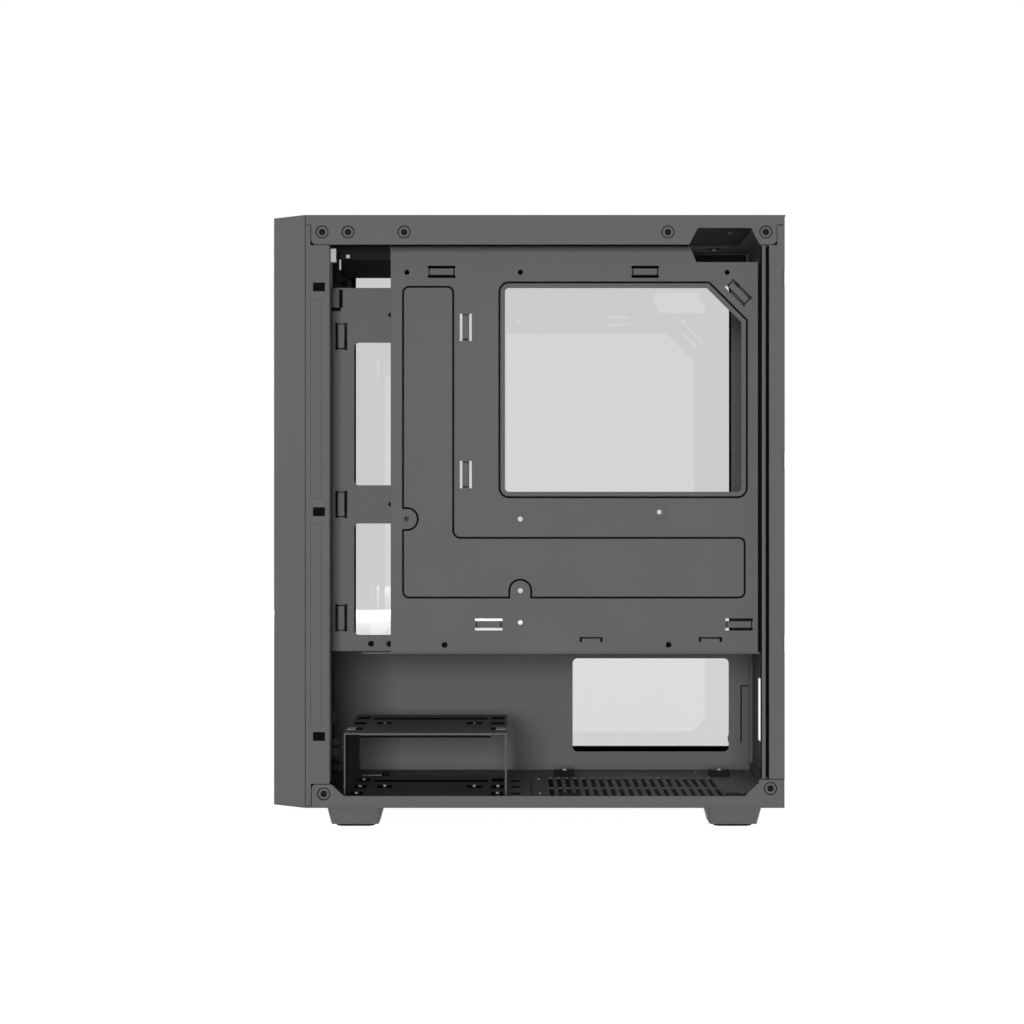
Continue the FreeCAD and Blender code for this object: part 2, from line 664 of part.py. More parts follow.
# Floor: a sheet with side rails, slanted vents and the drive cage's openings
def make_floor():
    body = new_body("floor")
    sketch = new_sketch(body, "XY", base, "FloorSheet")
    box(sketch, left, front, right, back)
    pad(body, sketch, s.steel)
    rail = base + s.rail_bottom
    high = rail + s.gusset_tall
    plate = depth(s.gusset_front)
    plate_front = front + s.post_foot
    plate_rear = gap_front + s.steel
    sketch = new_sketch(body, "YZ", inboard(s.steel), "FloorRailRight")
    outline(sketch, [
        (plate_front, floor_top), (back - s.seam, floor_top), (back - s.seam, rear_plate_top),
        (plate_rear, rear_plate_top), (plate_rear, high), (gap_front, high),
        (gap_front - s.gusset_slope, rail), (plate + s.gusset_slope, rail), (plate, high - s.seam),
        (plate_front, high - s.seam, s.gusset_round)])
    pad(body, sketch, s.steel)
    dimples(body, [(depth(s.dimple_floor_front), base + s.dimple_low),
                   (depth(s.dimple_floor_rear), base + s.dimple_rear_low)], "FloorDimples")
    sketch = new_sketch(body, "YZ", left, "FloorRailLeft")
    box(sketch, front, floor_top, back, base + s.rail_left)
    pad(body, sketch, s.steel)
    sketch = new_sketch(body, "XY", base + s.steel / 2, "SupplyVents")
    y_from = depth(s.floor_vent_front)
    for side in (-1, 1):
        x_mid = inboard(s.supply_in) + side * (s.floor_vent_long + s.floor_vent_web) / 2
        middle_box(sketch, x_mid, y_from + s.floor_vent_wide / 2, s.floor_vent_long, s.floor_vent_wide)
    first = cut(body, sketch, 3 * s.steel)
    repeat(body, first, "Y", s.floor_vent_pitch, FLOOR_VENTS)


def make_filters():
    """Dust filters under the roof's vents and under the floor's vents."""
    roof_filter = new_body("roof_filter")
    sketch = new_sketch(roof_filter, "XY", roof_under - s.filter_thick, "RoofFilter")
    middle = (left + right) / 2
    half = s.vent_long / 2 + s.filter_lap
    rear_end = s.roof_fan_front + s.roof_fan_pitch + (ROOF_VENTS - 1) * s.vent_pitch + s.vent_wide
    box(sketch, middle - half, depth(s.roof_fan_front - s.filter_lap), middle + half,
        depth(rear_end + s.filter_lap))
    pad(roof_filter, sketch, s.filter_thick)
    floor_filter = new_body("floor_filter")
    sketch = new_sketch(floor_filter, "XY", base - s.filter_thick, "FloorFilter")
    half = s.floor_vent_long + s.floor_vent_web / 2 + s.filter_lap
    rear_end = s.floor_vent_front + (FLOOR_VENTS - 1) * s.floor_vent_pitch + s.floor_vent_wide
    box(sketch, inboard(s.supply_in) - half, depth(s.floor_vent_front - s.filter_lap),
        inboard(s.supply_in) + half, depth(rear_end + s.filter_lap))
    pad(floor_filter, sketch, s.filter_thick)


# Front sheet: three fan openings with their screw holes, and the glass-side flange
def front_fan_heights():
    """Two fans, one above the other, in the room below the port bracket."""
    middle = (floor_top + roof_under - s.bracket_drop) / 2
    return [middle + side * s.front_fan_pitch / 2 for side in (-1, 1)]


def clip_places():
    """Pegs of the plastic front, two columns of three."""
    middle = (base + top) / 2
    places = []
    for side in (left + s.clip_inset + s.bezel_bevel, right - s.clip_inset - s.bezel_bevel):
        for i in (-1, 0, 1):
            places.append((side, middle + i * (s.chassis_height / 2 - s.clip_inset)))
    return places


def make_front_sheet():
    body = new_body("front_sheet")
    sketch = new_sketch(body, "XZ", front, "FrontSheet")
    box(sketch, left + s.steel, floor_top, right - s.steel, roof_under)
    pad(body, sketch, s.steel, backward=True)
    sketch = new_sketch(body, "YZ", left, "FrontFlangeLeft")
    box(sketch, front, base + s.rail_left, depth(s.rail_left), top - s.rail_left)
    pad(body, sketch, s.steel)
    middle = (left + right) / 2
    sketch = new_sketch(body, "XZ", front + s.steel / 2, "FrontFans")
    for height in front_fan_heights():
        circle(sketch, middle, height, s.front_fan_radius)
        for du in (-1, 1):
            for dv in (-1, 1):
                circle(sketch, middle + du * s.fan_screws / 2, height + dv * s.fan_screws / 2, s.screw_hole)
    for x, z in clip_places():
        middle_box(sketch, x, z, s.clip_side + 2 * s.fit_gap, s.clip_side + 2 * s.fit_gap)
    cut(body, sketch, 3 * s.steel)
    sketch = new_sketch(body, "YZ", left + s.steel / 2, "GlassHolesFront")
    for z in glass_screw_heights():
        many_sided(sketch, depth(s.knob_inset), z, s.stud_radius + s.fit_gap, SMALL_SIDES)
    cut(body, sketch, 3 * s.steel)


def glass_screw_heights():
    return [base + s.rail_left + s.knob_inset, top - s.rail_left - s.knob_inset]


# Front post on the open side, with hook holes and two pressed fields
def make_front_post():
    body = new_body("front_post")
    low = base + s.rail_bottom + s.gusset_tall
    high = top - s.rail_top - s.seam
    tab_top = high + s.corner_tab
    edge = depth(s.post_front)
    foot = front + s.post_foot - s.seam
    sketch = new_sketch(body, "YZ", inboard(s.steel), "FrontPost")
    outline(sketch, [
        (front, floor_top + s.seam), (foot, floor_top + s.seam), (foot, low), (edge, low), (edge, high),
        (front + s.tab_front, high), (front + s.tab_front, tab_top), (front, tab_top)])
    pad(body, sketch, s.steel)
    sketch = new_sketch(body, "XZ", edge, "FrontPostFold")
    box(sketch, inboard(s.steel + s.post_fold), low + s.seam, inboard(s.steel), high - s.seam)
    pad(body, sketch, s.steel)
    sketch = new_sketch(body, "YZ", inboard(s.steel / 2), "HookHole")
    y_from = depth(s.hook_back)
    box(sketch, y_from, s.hook_first - s.hook_tall / 2, y_from + s.hook_wide, s.hook_first + s.hook_tall / 2)
    hook = cut(body, sketch, 3 * s.steel)
    repeat(body, hook, "Z", s.hook_pitch, 3)
    y0 = depth(s.tab_front)
    y1 = y0 + s.hook_wide
    for i in range(2):
        z0 = s.hook_first + i * s.hook_pitch + (s.hook_tall + s.notch_tall) / 2
        z1 = s.hook_first + (i + 1) * s.hook_pitch - (s.hook_tall + s.notch_tall) / 2
        outer = [(y0, z0), (y1, z0), (y1, z1), (y0, z1)]
        line = s.groove_wide
        inner = [(y0 + line, z0 + line), (y1 - line, z0 + line), (y1 - line, z1 - line), (y0 + line, z1 - line)]
        press_line(body, "PostField%d" % (i + 1), right, outer, inner, s.post_line_deep)


# Rear post on the open side: a folded section with two grooves for the side panel's edge
def make_rear_post():
    body = new_body("rear_post")
    low = rear_plate_top + s.seam
    high = top - s.rail_top - s.seam
    outer = back - s.post_rear
    hem_rear = outer - s.groove_near
    hem_front = hem_rear - s.hem
    deep = inboard(s.groove_deep)
    back_face = deep - s.steel
    skin = inboard(s.steel)
    sketch = new_sketch(body, "XY", low, "RearPostSection")
    outline(sketch, [
        (right, back), (right, outer), (deep, outer), (deep, hem_rear), (inboard(s.hem_low), hem_rear),
        (inboard(s.hem_low), hem_front), (back_face, hem_front), (back_face, outer + s.steel),
        (skin, outer + s.steel), (skin, back)])
    pad(body, sketch, high - low)
    sketch = new_sketch(body, "YZ", skin, "RearPostTab")
    box(sketch, back - s.tab_rear, high, back, high + s.corner_tab)
    pad(body, sketch, s.steel)
    sketch = new_sketch(body, "YZ", inboard(s.steel / 2), "EdgeNotch")
    box(sketch, back - s.notch_deep, s.notch_first - s.notch_tall / 2, back + s.steel,
        s.notch_first + s.notch_tall / 2)
    notch = cut(body, sketch, 3 * s.steel)
    repeat(body, notch, "Z", s.notch_pitch, 3)


# Rear sheet: fan grille, port plate opening, slots, power supply opening, screw shelf
def slot_height(i):
    return board_row - s.row_span - s.slot_drop - i * s.slot_pitch


def make_rear_sheet():
    body = new_body("rear_sheet")
    sketch = new_sketch(body, "XZ", back, "RearSheet")
    box(sketch, left + s.steel, floor_top, right - s.steel, roof_under)
    pad(body, sketch, s.steel)
    sketch = new_sketch(body, "YZ", left, "RearFlangeLeft")
    box(sketch, back - s.rail_left, base + s.rail_left, back, top - s.rail_left)
    pad(body, sketch, s.steel)
    rim = s.rear_rim
    field = (left + rim, floor_top + s.pad_height, tray_x - s.steel - s.fit_gap, roof_under - rim)
    sketch = new_sketch(body, "XZ", step_out, "RearFieldOuter")
    box(sketch, *field)
    pad(body, sketch, s.rear_step)
    sketch = new_sketch(body, "XZ", back - s.steel, "RearFieldInner")
    box(sketch, field[0] + s.steel, field[1] + s.steel, field[2] - s.steel, field[3] - s.steel)
    cut(body, sketch, 2 * s.rear_step)
    skin = step_out - s.steel / 2
    deep = 3 * s.steel
    sketch = new_sketch(body, "XZ", skin, "PortPlateOpening")
    x_right = tray_x - s.steel - s.shield_lift
    shield_low = board_row - s.shield_drop
    box(sketch, x_right - s.shield_wide, shield_low, x_right, shield_low + s.shield_long)
    cut(body, sketch, deep)
    sketch = new_sketch(body, "XZ", skin, "CardSlots")
    for i in range(4):
        box(sketch, inboard(s.slot_start + s.slot_long), slot_height(i) - s.slot_tall / 2,
            inboard(s.slot_start), slot_height(i) + s.slot_tall / 2)
    cut(body, sketch, deep)
    shelf = inboard(s.cover_start + s.cover_long)
    sketch = new_sketch(body, "XZ", skin, "TabSlits")
    for i in range(4):
        box(sketch, shelf - s.fit_gap, slot_height(i) - s.cover_wide / 2 - s.fit_gap,
            shelf + s.steel + s.fit_gap, slot_height(i) + s.cover_wide / 2 + s.fit_gap)
    cut(body, sketch, deep)
    sketch = new_sketch(body, "XZ", skin, "SupplyOpening")
    x_mid = inboard(s.supply_in)
    z_mid = floor_top + s.pad_height + s.supply_height / 2
    tall = s.supply_height / 2 - s.supply_lip
    ear = s.supply_ear_tall / 2
    wide = s.supply_open / 2
    reach = s.supply_ear / 2
    outline(sketch, [
        (x_mid - wide, z_mid - tall), (x_mid + wide, z_mid - tall), (x_mid + wide, z_mid - ear),
        (x_mid + reach, z_mid - ear), (x_mid + reach, z_mid + ear), (x_mid + wide, z_mid + ear),
        (x_mid + wide, z_mid + tall), (x_mid - wide, z_mid + tall), (x_mid - wide, z_mid + ear),
        (x_mid - reach, z_mid + ear), (x_mid - reach, z_mid - ear), (x_mid - wide, z_mid - ear)])
    cut(body, sketch, deep)
    sketch = new_sketch(body, "XZ", skin, "RearScrews")
    for du in (-1, 1):
        for dv in (-1, 1):
            circle(sketch, x_mid + du * s.supply_screw_x / 2, z_mid + dv * s.supply_screw_z / 2, s.screw_hole)
            circle(sketch, inboard(s.fan_in) + du * s.fan_screws / 2, fan_height + dv * s.fan_screws / 2,
                   s.screw_hole)
    cut(body, sketch, deep)
    cut_grille(body, skin, deep)
    sketch = new_sketch(body, "XY", slot_height(3) - s.cover_wide / 2, "ScrewShelf")
    box(sketch, shelf - s.fit_gap - s.steel, step_out, shelf - s.fit_gap, step_out + s.shelf_out - s.steel)
    pad(body, sketch, 3 * s.slot_pitch + s.cover_wide)
    sketch = new_sketch(body, "YZ", left + s.steel / 2, "GlassHolesRear")
    for z in glass_screw_heights():
        many_sided(sketch, back - s.knob_inset, z, s.stud_radius + s.fit_gap, SMALL_SIDES)
    cut(body, sketch, 3 * s.steel)


def cut_grille(body, skin, deep):
    """Ring slots around the rear fan's axis: one quarter is cut, then turned about the axis."""
    sketch = new_sketch(body, "XZ", skin, "GrilleQuarter")
    sketch.AttachmentOffset = FreeCAD.Placement(
        FreeCAD.Vector(inboard(s.fan_in).value, fan_height.value, -skin.value), FreeCAD.Rotation())
    sketch.setExpression("AttachmentOffset.Base.x", inboard(s.fan_in).formula)
    sketch.setExpression("AttachmentOffset.Base.y", fan_height.formula)
    for ring in range(3):
        inner = s.grille_hub + ring * (s.grille_slot + s.grille_web)
        add_ring_slot(sketch, inner, inner + s.grille_slot, s.grille_spoke / 2)
    first = cut(body, sketch, deep)
    turned = body.newObject("PartDesign::PolarPattern", "GrilleTurned")
    turned.Originals = [first]
    turned.Axis = (sketch, ["N_Axis"])
    turned.Angle = 360
    turned.Occurrences = 4
    body.Tip = turned
    doc.recompute([body])


def add_ring_slot(sketch, inner, outer, half_spoke):
    """A quarter of a ring between two spokes: two arcs about the origin and two straight ends."""
    origin = FreeCAD.Vector(0, 0, 0)
    edge = half_spoke.value
    near = math.sqrt(inner.value ** 2 - edge ** 2)
    far = math.sqrt(outer.value ** 2 - edge ** 2)
    arcs = []
    for radius, reach in ((outer, far), (inner, near)):
        arc = sketch.addGeometry(Part.ArcOfCircle(
            Part.Circle(origin, FreeCAD.Vector(0, 0, 1), radius.value),
            math.atan2(edge, reach), math.atan2(reach, edge)), False)
        sketch.addConstraint(Sketcher.Constraint("Coincident", arc, 3, -1, 1))
        hold(sketch, "Radius", radius, arc)
        arcs.append(arc)
    level = sketch.addGeometry(Part.LineSegment(
        FreeCAD.Vector(near, edge, 0), FreeCAD.Vector(far, edge, 0)), False)
    upright = sketch.addGeometry(Part.LineSegment(
        FreeCAD.Vector(edge, far, 0), FreeCAD.Vector(edge, near, 0)), False)
    sketch.addConstraint(Sketcher.Constraint("Coincident", level, 2, arcs[0], 1))
    sketch.addConstraint(Sketcher.Constraint("Coincident", upright, 1, arcs[0], 2))
    sketch.addConstraint(Sketcher.Constraint("Coincident", upright, 2, arcs[1], 2))
    sketch.addConstraint(Sketcher.Constraint("Coincident", level, 1, arcs[1], 1))
    sketch.addConstraint(Sketcher.Constraint("Horizontal", level))
    sketch.addConstraint(Sketcher.Constraint("Vertical", upright))
    hold(sketch, "DistanceY", half_spoke, -1, 1, level, 1)
    hold(sketch, "DistanceX", half_spoke, -1, 1, upright, 1)


# Motherboard tray
def board_columns():
    """Front, middle and rear column of board holes."""
    first = depth(s.board_column)
    return [first, first + s.column_pitch, first + s.column_pitch + s.column_span]


def board_rows():
    """Upper, middle and lower row of board holes."""
    return [board_row, board_row - s.row_span, board_row - s.row_span - s.row_pitch]


def cooler_corners(offset):
    """Outline of the processor cut-out, or of a line that runs outside it."""
    y0 = depth(s.cooler_front) - offset
    y1 = depth(s.cooler_front) + s.cooler_long + offset
    z1 = top - s.cooler_drop + offset
    z0 = top - s.cooler_drop - s.cooler_tall - offset
    bevel = s.cooler_bevel + (2 - math.sqrt(2)) * offset
    rounding = s.cooler_round + offset
    return [(y0, z0, rounding), (y1, z0, rounding), (y1, z1 - bevel), (y1 - bevel, z1), (y0, z1, rounding)]


def panel_corners(inset):
    """Angled pressed field below and before the cut-out, with reliefs around two board holes."""
    y0 = depth(s.panel_front) + inset
    y1 = depth(s.panel_rear) - inset
    z1 = top - s.panel_drop - inset
    z0 = top - s.panel_drop - s.panel_tall + inset
    arm = depth(s.panel_front) + s.panel_arm - inset
    bar = top - s.panel_drop - s.panel_tall + s.panel_bar - inset
    outer = s.panel_round - inset
    inner = s.panel_round + inset
    side = board_columns()[0]
    middle = board_columns()[1]
    rows = board_rows()
    notch = s.panel_notch + inset
    curve = notch - s.seam / 2
    return [
        (y0, z0, outer),
        (middle - notch, z0), (middle - notch, rows[2] + notch, curve),
        (middle + notch, rows[2] + notch, curve), (middle + notch, z0),
        (y1, z0, outer), (y1, bar, outer), (arm, bar, inner), (arm, z1, outer), (y0, z1, outer),
        (y0, rows[1] + notch), (side + notch, rows[1] + notch, curve),
        (side + notch, rows[1] - notch, curve), (y0, rows[1] - notch)]


def press_line(body, name, face, outer, inner, deep):
    """A shallow groove between two outlines in a sheet's outer face."""
    sketch = new_sketch(body, "YZ", face, name)
    outline(sketch, outer)
    outline(sketch, inner)
    cut(body, sketch, 2 * deep)


def slanted_box(sketch, u, v, along, across, shift):
    """A rectangle turned 45 degrees down to the rear, shifted sideways from (u, v)."""
    c = math.sqrt(0.5)
    mid_u = u + shift * c
    mid_v = v + shift * c
    half_a = along * c / 2
    half_b = across * c / 2
    outline(sketch, [
        (mid_u - half_a - half_b, mid_v + half_a - half_b), (mid_u + half_a - half_b, mid_v - half_a - half_b),
        (mid_u + half_a + half_b, mid_v - half_a + half_b), (mid_u - half_a + half_b, mid_v + half_a + half_b)])


def make_tray():
    body = new_body("board_tray")
    skin = tray_x - s.steel
    y0 = depth(s.tray_front)
    y1 = depth(s.tray_rear)
    notch = depth(s.power_notch_front)
    sketch = new_sketch(body, "YZ", skin, "TraySheet")
    outline(sketch, [
        (y0, s.shroud_top), (y1, s.shroud_top), (y1, power_notch), (notch + s.power_notch_slope, power_notch),
        (notch, power_notch + s.cutout_deep), (notch, roof_under), (y0, roof_under)])
    pad(body, sketch, s.steel)
    sketch = new_sketch(body, "XZ", y0, "TrayFlange")
    box(sketch, inboard(s.plate_in), s.shroud_top, skin, plate_top)
    pad(body, sketch, s.steel, backward=True)
    sketch = new_sketch(body, "XZ", y1, "TrayBend")
    box(sketch, skin - s.tray_bend, s.shroud_top, skin, power_notch)
    pad(body, sketch, s.steel)
    sketch = new_sketch(body, "YZ", skin - s.tray_bend, "TrayRearLeg")
    box(sketch, y1 - s.steel, s.shroud_top, back - s.steel, power_notch)
    pad(body, sketch, s.steel)
    press_line(body, "CoolerLine", tray_x, cooler_corners(s.groove_out + s.groove_wide),
               cooler_corners(s.groove_out), s.groove_cut)
    press_line(body, "FieldLine", tray_x, panel_corners(length(0)), panel_corners(s.groove_wide), s.groove_cut)
    sketch = new_sketch(body, "YZ", tray_x, "GuideRing")
    many_sided(sketch, depth(s.guide_hole_back), guide_height, s.guide_ring, ROUND_SIDES)
    pad(body, sketch, s.groove_cut)
    ties = tray_ties()
    tie_bars(body, tray_x, ties, "TieBars")
    sketch = new_sketch(body, "YZ", tray_x, "TieBarSlanted")
    slanted_box(sketch, depth(s.tie_corner_back), tie_corner, s.tie_long - 2 * s.tie_rise,
                s.tie_bar - s.seam, length(0))
    pad(body, sketch, s.tie_rise)
    middle = tray_x - s.steel / 2
    sketch = new_sketch(body, "YZ", middle, "TrayOpenings")
    outline(sketch, cooler_corners(length(0)))
    for u, v, upright in ties:
        tie_slots(sketch, u, v, upright)
    for side in (-1, 1):
        slanted_box(sketch, depth(s.tie_corner_back), tie_corner, s.tie_long, s.tie_slot,
                    side * (s.tie_bar + s.tie_slot) / 2)
    for column in (s.lock_front, s.lock_rear):
        middle_box(sketch, depth(column), lock_height, s.lock_long, s.groove_wide)
    cut(body, sketch, 3 * s.steel)
    sketch = new_sketch(body, "YZ", middle, "BoardHoles")
    columns = board_columns()
    rows = board_rows()
    for column in columns:
        for row in rows[:2]:
            circle(sketch, column, row, s.board_hole)
    circle(sketch, columns[2] - s.column_short, rows[0], s.board_hole)
    for column in columns[1:]:
        circle(sketch, column, rows[2], s.board_hole)
    many_sided(sketch, columns[1], rows[2] - s.slot_pitch, s.board_hole, SMALL_SIDES)
    many_sided(sketch, depth(s.guide_hole_back), guide_height, s.board_hole, SMALL_SIDES)
    for column in (s.screw_front, s.screw_rear):
        many_sided(sketch, depth(column), ledge_height, s.ledge_hole, SMALL_SIDES)
    cut(body, sketch, 4 * s.steel)


def tray_ties():
    """Cable tie places on the tray: depth, height, upright or level."""
    high = top - s.tie_high_drop
    low = s.shroud_top + s.tie_low_up
    column = depth(s.tie_column)
    column_high = top - s.tie_column_drop
    return [
        (depth(s.tie_high_front), high, False), (depth(s.tie_high_rear), high, False),
        (depth(s.tie_low_front), low, False), (depth(s.tie_low_rear), low, False),
        (column, column_high, True), (column, column_high - s.tie_column_pitch, True)]


# Cable plate before the tray, a step further in
def make_cable_plate():
    body = new_body("cable_plate")
    face = inboard(s.plate_in)
    sketch = new_sketch(body, "YZ", face - s.steel, "CablePlate")
    box(sketch, front + s.steel, s.shroud_top, depth(s.tray_front) + s.plate_tail, plate_top)
    pad(body, sketch, s.steel)
    tie_y = depth(s.plate_tie_back)
    low_from = s.shroud_top + s.window_up
    low_to = low_from + s.window_tall
    high_from = low_to + s.window_bar
    high_to = high_from + s.window_high
    ties = [(tie_y, top - s.plate_tie_drop, True), (tie_y, (low_to + high_from) / 2, True),
            (tie_y, s.shroud_top + s.plate_tie_up, True)]
    tie_bars(body, face, ties, "PlateTieBars")
    sketch = new_sketch(body, "YZ", face - s.steel / 2, "PlateOpenings")
    y0 = depth(s.window_front)
    y1 = depth(s.tray_front) - s.seam
    for z0, z1 in ((low_from, low_to), (high_from, high_to)):
        outline(sketch, [(y0, z0, s.window_round), (y1, z0), (y1, z1), (y0, z1, s.window_round)])
    for u, v, upright in ties:
        tie_slots(sketch, u, v, upright)
    for place in (s.plate_hole_front, s.plate_hole_rear):
        many_sided(sketch, depth(place), ledge_height, s.ledge_hole, SMALL_SIDES)
    cut(body, sketch, 3 * s.steel)


# Power supply cover: upper sheet and glass-side wall with a window
def make_shroud():
    body = new_body("supply_cover")
    wall = left + s.shroud_in
    upper = s.shroud_top - s.steel
    sketch = new_sketch(body, "XY", upper, "CoverSheet")
    box(sketch, wall, depth(s.shroud_front), tray_x, back - s.steel)
    pad(body, sketch, s.steel)
    sketch = new_sketch(body, "YZ", wall, "CoverWall")
    box(sketch, front + s.steel, floor_top, back - s.steel, upper)
    pad(body, sketch, s.steel)
    sketch = new_sketch(body, "YZ", wall + s.steel / 2, "CoverWindow")
    y0 = depth(s.shroud_window_front)
    z0 = s.shroud_window_up
    box(sketch, y0, z0, y0 + s.shroud_window_long, z0 + s.shroud_window_tall, s.shroud_window_round)
    cut(body, sketch, 3 * s.steel)
    sketch = new_sketch(body, "XY", upper + s.steel / 2, "CoverCablePass")
    for i in range(3):
        y_mid = depth(s.tray_front + s.pass_first) + i * s.pass_pitch
        middle_box(sketch, tray_x - s.pass_in, y_mid, s.pass_wide, s.pass_long)
    cut(body, sketch, 3 * s.steel)
    sketch = new_sketch(body, "XY", upper + s.steel / 2, "CoverVent")
    middle_box(sketch, inboard(s.supply_in) - s.pass_wide, depth(s.floor_vent_front), s.vent_long, s.vent_wide)
    first = cut(body, sketch, 3 * s.steel)
    repeat(body, first, "Y", s.vent_pitch, COVER_VENTS)


# Drive cage: a folded tube, open to both sides of the case
def make_cage():
    body = new_body("drive_cage")
    near = inboard(s.cage_in)
    far = near - s.cage_deep
    y0 = depth(s.cage_front)
    y1 = y0 + s.cage_long
    z0 = floor_top
    z1 = floor_top + s.cage_tall
    sketch = new_sketch(body, "YZ", far, "CageTube")
    box(sketch, y0, z0, y1, z1)
    pad(body, sketch, s.cage_deep)
    sketch = new_sketch(body, "YZ", (near + far) / 2, "CageInside")
    box(sketch, y0 + s.steel, z0 + s.steel, y1 - s.steel, z1 - s.steel)
    cut(body, sketch, 2 * s.cage_deep)
    sketch = new_sketch(body, "YZ", near - s.steel, "CageLip")
    box(sketch, y0 + s.cage_lip_in, z1 - s.steel - s.cage_lip, y1 - s.cage_lip_in, z1 - s.steel)
    pad(body, sketch, s.steel)
    sketch = new_sketch(body, "XY", (z0 + z1) / 2, "CageCuts")
    middle_box(sketch, inboard(s.cage_slot_in), (y0 + y1) / 2, s.cage_slot_wide, s.cage_slot_long)
    for i in range(3):
        x_mid = inboard(s.cage_side_slot_in + i * s.cage_side_slot_pitch)
        for y_mid in (y0 + s.cage_side_slot_edge, y1 - s.cage_side_slot_edge):
            middle_box(sketch, x_mid, y_mid, s.cage_side_slot_wide, s.cage_side_slot_long)
    shift = (s.cage_wing + s.cage_wing_gap) / 2
    for i in range(2):
        y_hole = depth(s.cage_hole_front) + i * s.cage_hole_span
        for side in (-1, 1):
            middle_box(sketch, inboard(s.cage_hole_in), y_hole + side * shift, s.cage_wing_wide, s.cage_wing)
    cut(body, sketch, 2 * s.cage_tall)
    sketch = new_sketch(body, "XZ", (y0 + y1) / 2, "CageSideHoles")
    for side in (-1, 1):
        circle(sketch, (near + far) / 2 + side * s.drive_hole_span / 2, z0 + s.steel + s.drive_hole_up, s.ledge_hole)
    cut(body, sketch, 2 * s.cage_long)


# Plastic front: hollow, with slanted sides, an intake opening and round pegs
def make_bezel():
    body = new_body("front_bezel")
    rim = front - s.fit_gap
    face = front - s.bezel_depth
    wall = s.bezel_wall
    sketch = new_sketch(body, "XY", base, "BezelPlan")
    outline(sketch, [(left, rim), (left + s.bezel_bevel, face), (right - s.bezel_bevel, face), (right, rim)])
    pad(body, sketch, s.chassis_height)
    middle = (base + top) / 2
    sketch = new_sketch(body, "XY", middle, "BezelHollow")
    outline(sketch, [
        (left + s.bezel_lip, rim + wall), (left + s.bezel_lip, rim), (left + s.bezel_bevel + wall / 2, face + wall),
        (right - s.bezel_bevel - wall / 2, face + wall), (right - s.bezel_lip, rim), (right - s.bezel_lip, rim + wall)])
    cut(body, sketch, s.chassis_height - 2 * wall)
    sketch = new_sketch(body, "XZ", face + wall / 2, "BezelIntake")
    box(sketch, left + s.bezel_bevel + s.bezel_border, base + s.bezel_border,
        right - s.bezel_bevel - s.bezel_border, top - s.bezel_border)
    cut(body, sketch, 2 * wall)
    for name, side, y_end in (("ClipPost", s.clip_post, rim), ("ClipPeg", s.clip_side, front + s.clip_length)):
        sketch = new_sketch(body, "XZ", y_end, name)
        for x, z in clip_places():
            middle_box(sketch, x, z, side, side)
        pad(body, sketch, y_end - face - wall)


def make_mesh():
    """Intake sheet behind the plastic front, with rows of slots."""
    body = new_body("intake_mesh")
    near = front - s.bezel_depth + s.bezel_wall
    sketch = new_sketch(body, "XZ", near, "MeshSheet")
    margin = s.bezel_border - s.mesh_lap
    box(sketch, left + s.bezel_bevel + margin, base + margin, right - s.bezel_bevel - margin, top - margin)
    pad(body, sketch, s.steel, backward=True)
    sketch = new_sketch(body, "XZ", near + s.steel / 2, "MeshRow")
    shift = (s.mesh_slot_wide + s.mesh_slot_gap) / 2
    z = base + s.bezel_border + s.mesh_row_pitch
    for side in (-1, 1):
        middle_box(sketch, (left + right) / 2 + side * shift, z, s.mesh_slot_wide, s.mesh_slot_tall)
    first = cut(body, sketch, 3 * s.steel)
    repeat(body, first, "Z", s.mesh_row_pitch, INTAKE_ROWS)


# Glass side panel with its rubber rings and screws
def glass_screws():
    places = []
    for y in (depth(s.knob_inset), back - s.knob_inset):
        for z in glass_screw_heights():
            places.append((y, z))
    return places


def make_glass():
    body = new_body("glass_panel")
    inner = left - s.glass_gap
    sketch = new_sketch(body, "YZ", inner - s.glass_thick, "Glass")
    y0, y1 = front + s.seam, back - s.seam
    z0, z1 = base + s.seam, top - s.seam
    foot_plan(sketch, y0, z0, y1, z1, s.glass_corner)
    pad(body, sketch, s.glass_thick)
    sketch = new_sketch(body, "YZ", inner - s.glass_thick / 2, "GlassHoles")
    for y, z in glass_screws():
        many_sided(sketch, y, z, s.stud_radius + s.fit_gap, SMALL_SIDES)
    cut(body, sketch, 2 * s.glass_thick)


def make_glass_fixings():
    outer = left - s.glass_gap - s.glass_thick
    shank = s.glass_thick + s.glass_gap + s.steel + s.stud_end
    for i, (y, z) in enumerate(glass_screws(), start=1):
        ring = new_body("glass_ring_%d" % i)
        sketch = new_sketch(ring, "YZ", left - s.glass_gap, "Ring%d" % i)
        many_sided(sketch, y, z, s.ring_radius, ROUND_SIDES)
        many_sided(sketch, y, z, s.stud_radius + s.fit_gap, SMALL_SIDES)
        pad(ring, sketch, s.glass_gap)
        screw = new_body("glass_screw_%d" % i)
        sketch = new_sketch(screw, "YZ", outer - s.knob_height, "Head%d" % i)
        many_sided(sketch, y, z, s.knob_radius, ROUND_SIDES)
        pad(screw, sketch, s.knob_height)
        sketch = new_sketch(screw, "YZ", outer, "Shank%d" % i)
        many_sided(sketch, y, z, s.stud_radius, SMALL_SIDES)
        pad(screw, sketch, shank)





# Feet: tapered blocks with bevelled corners on rubber soles
def foot_plan(sketch, x0, y0, x1, y1, bevel):
    outline(sketch, [
        (x0 + bevel, y0), (x1 - bevel, y0), (x1, y0 + bevel), (x1, y1 - bevel),
        (x1 - bevel, y1), (x0 + bevel, y1), (x0, y1 - bevel), (x0, y0 + bevel)])


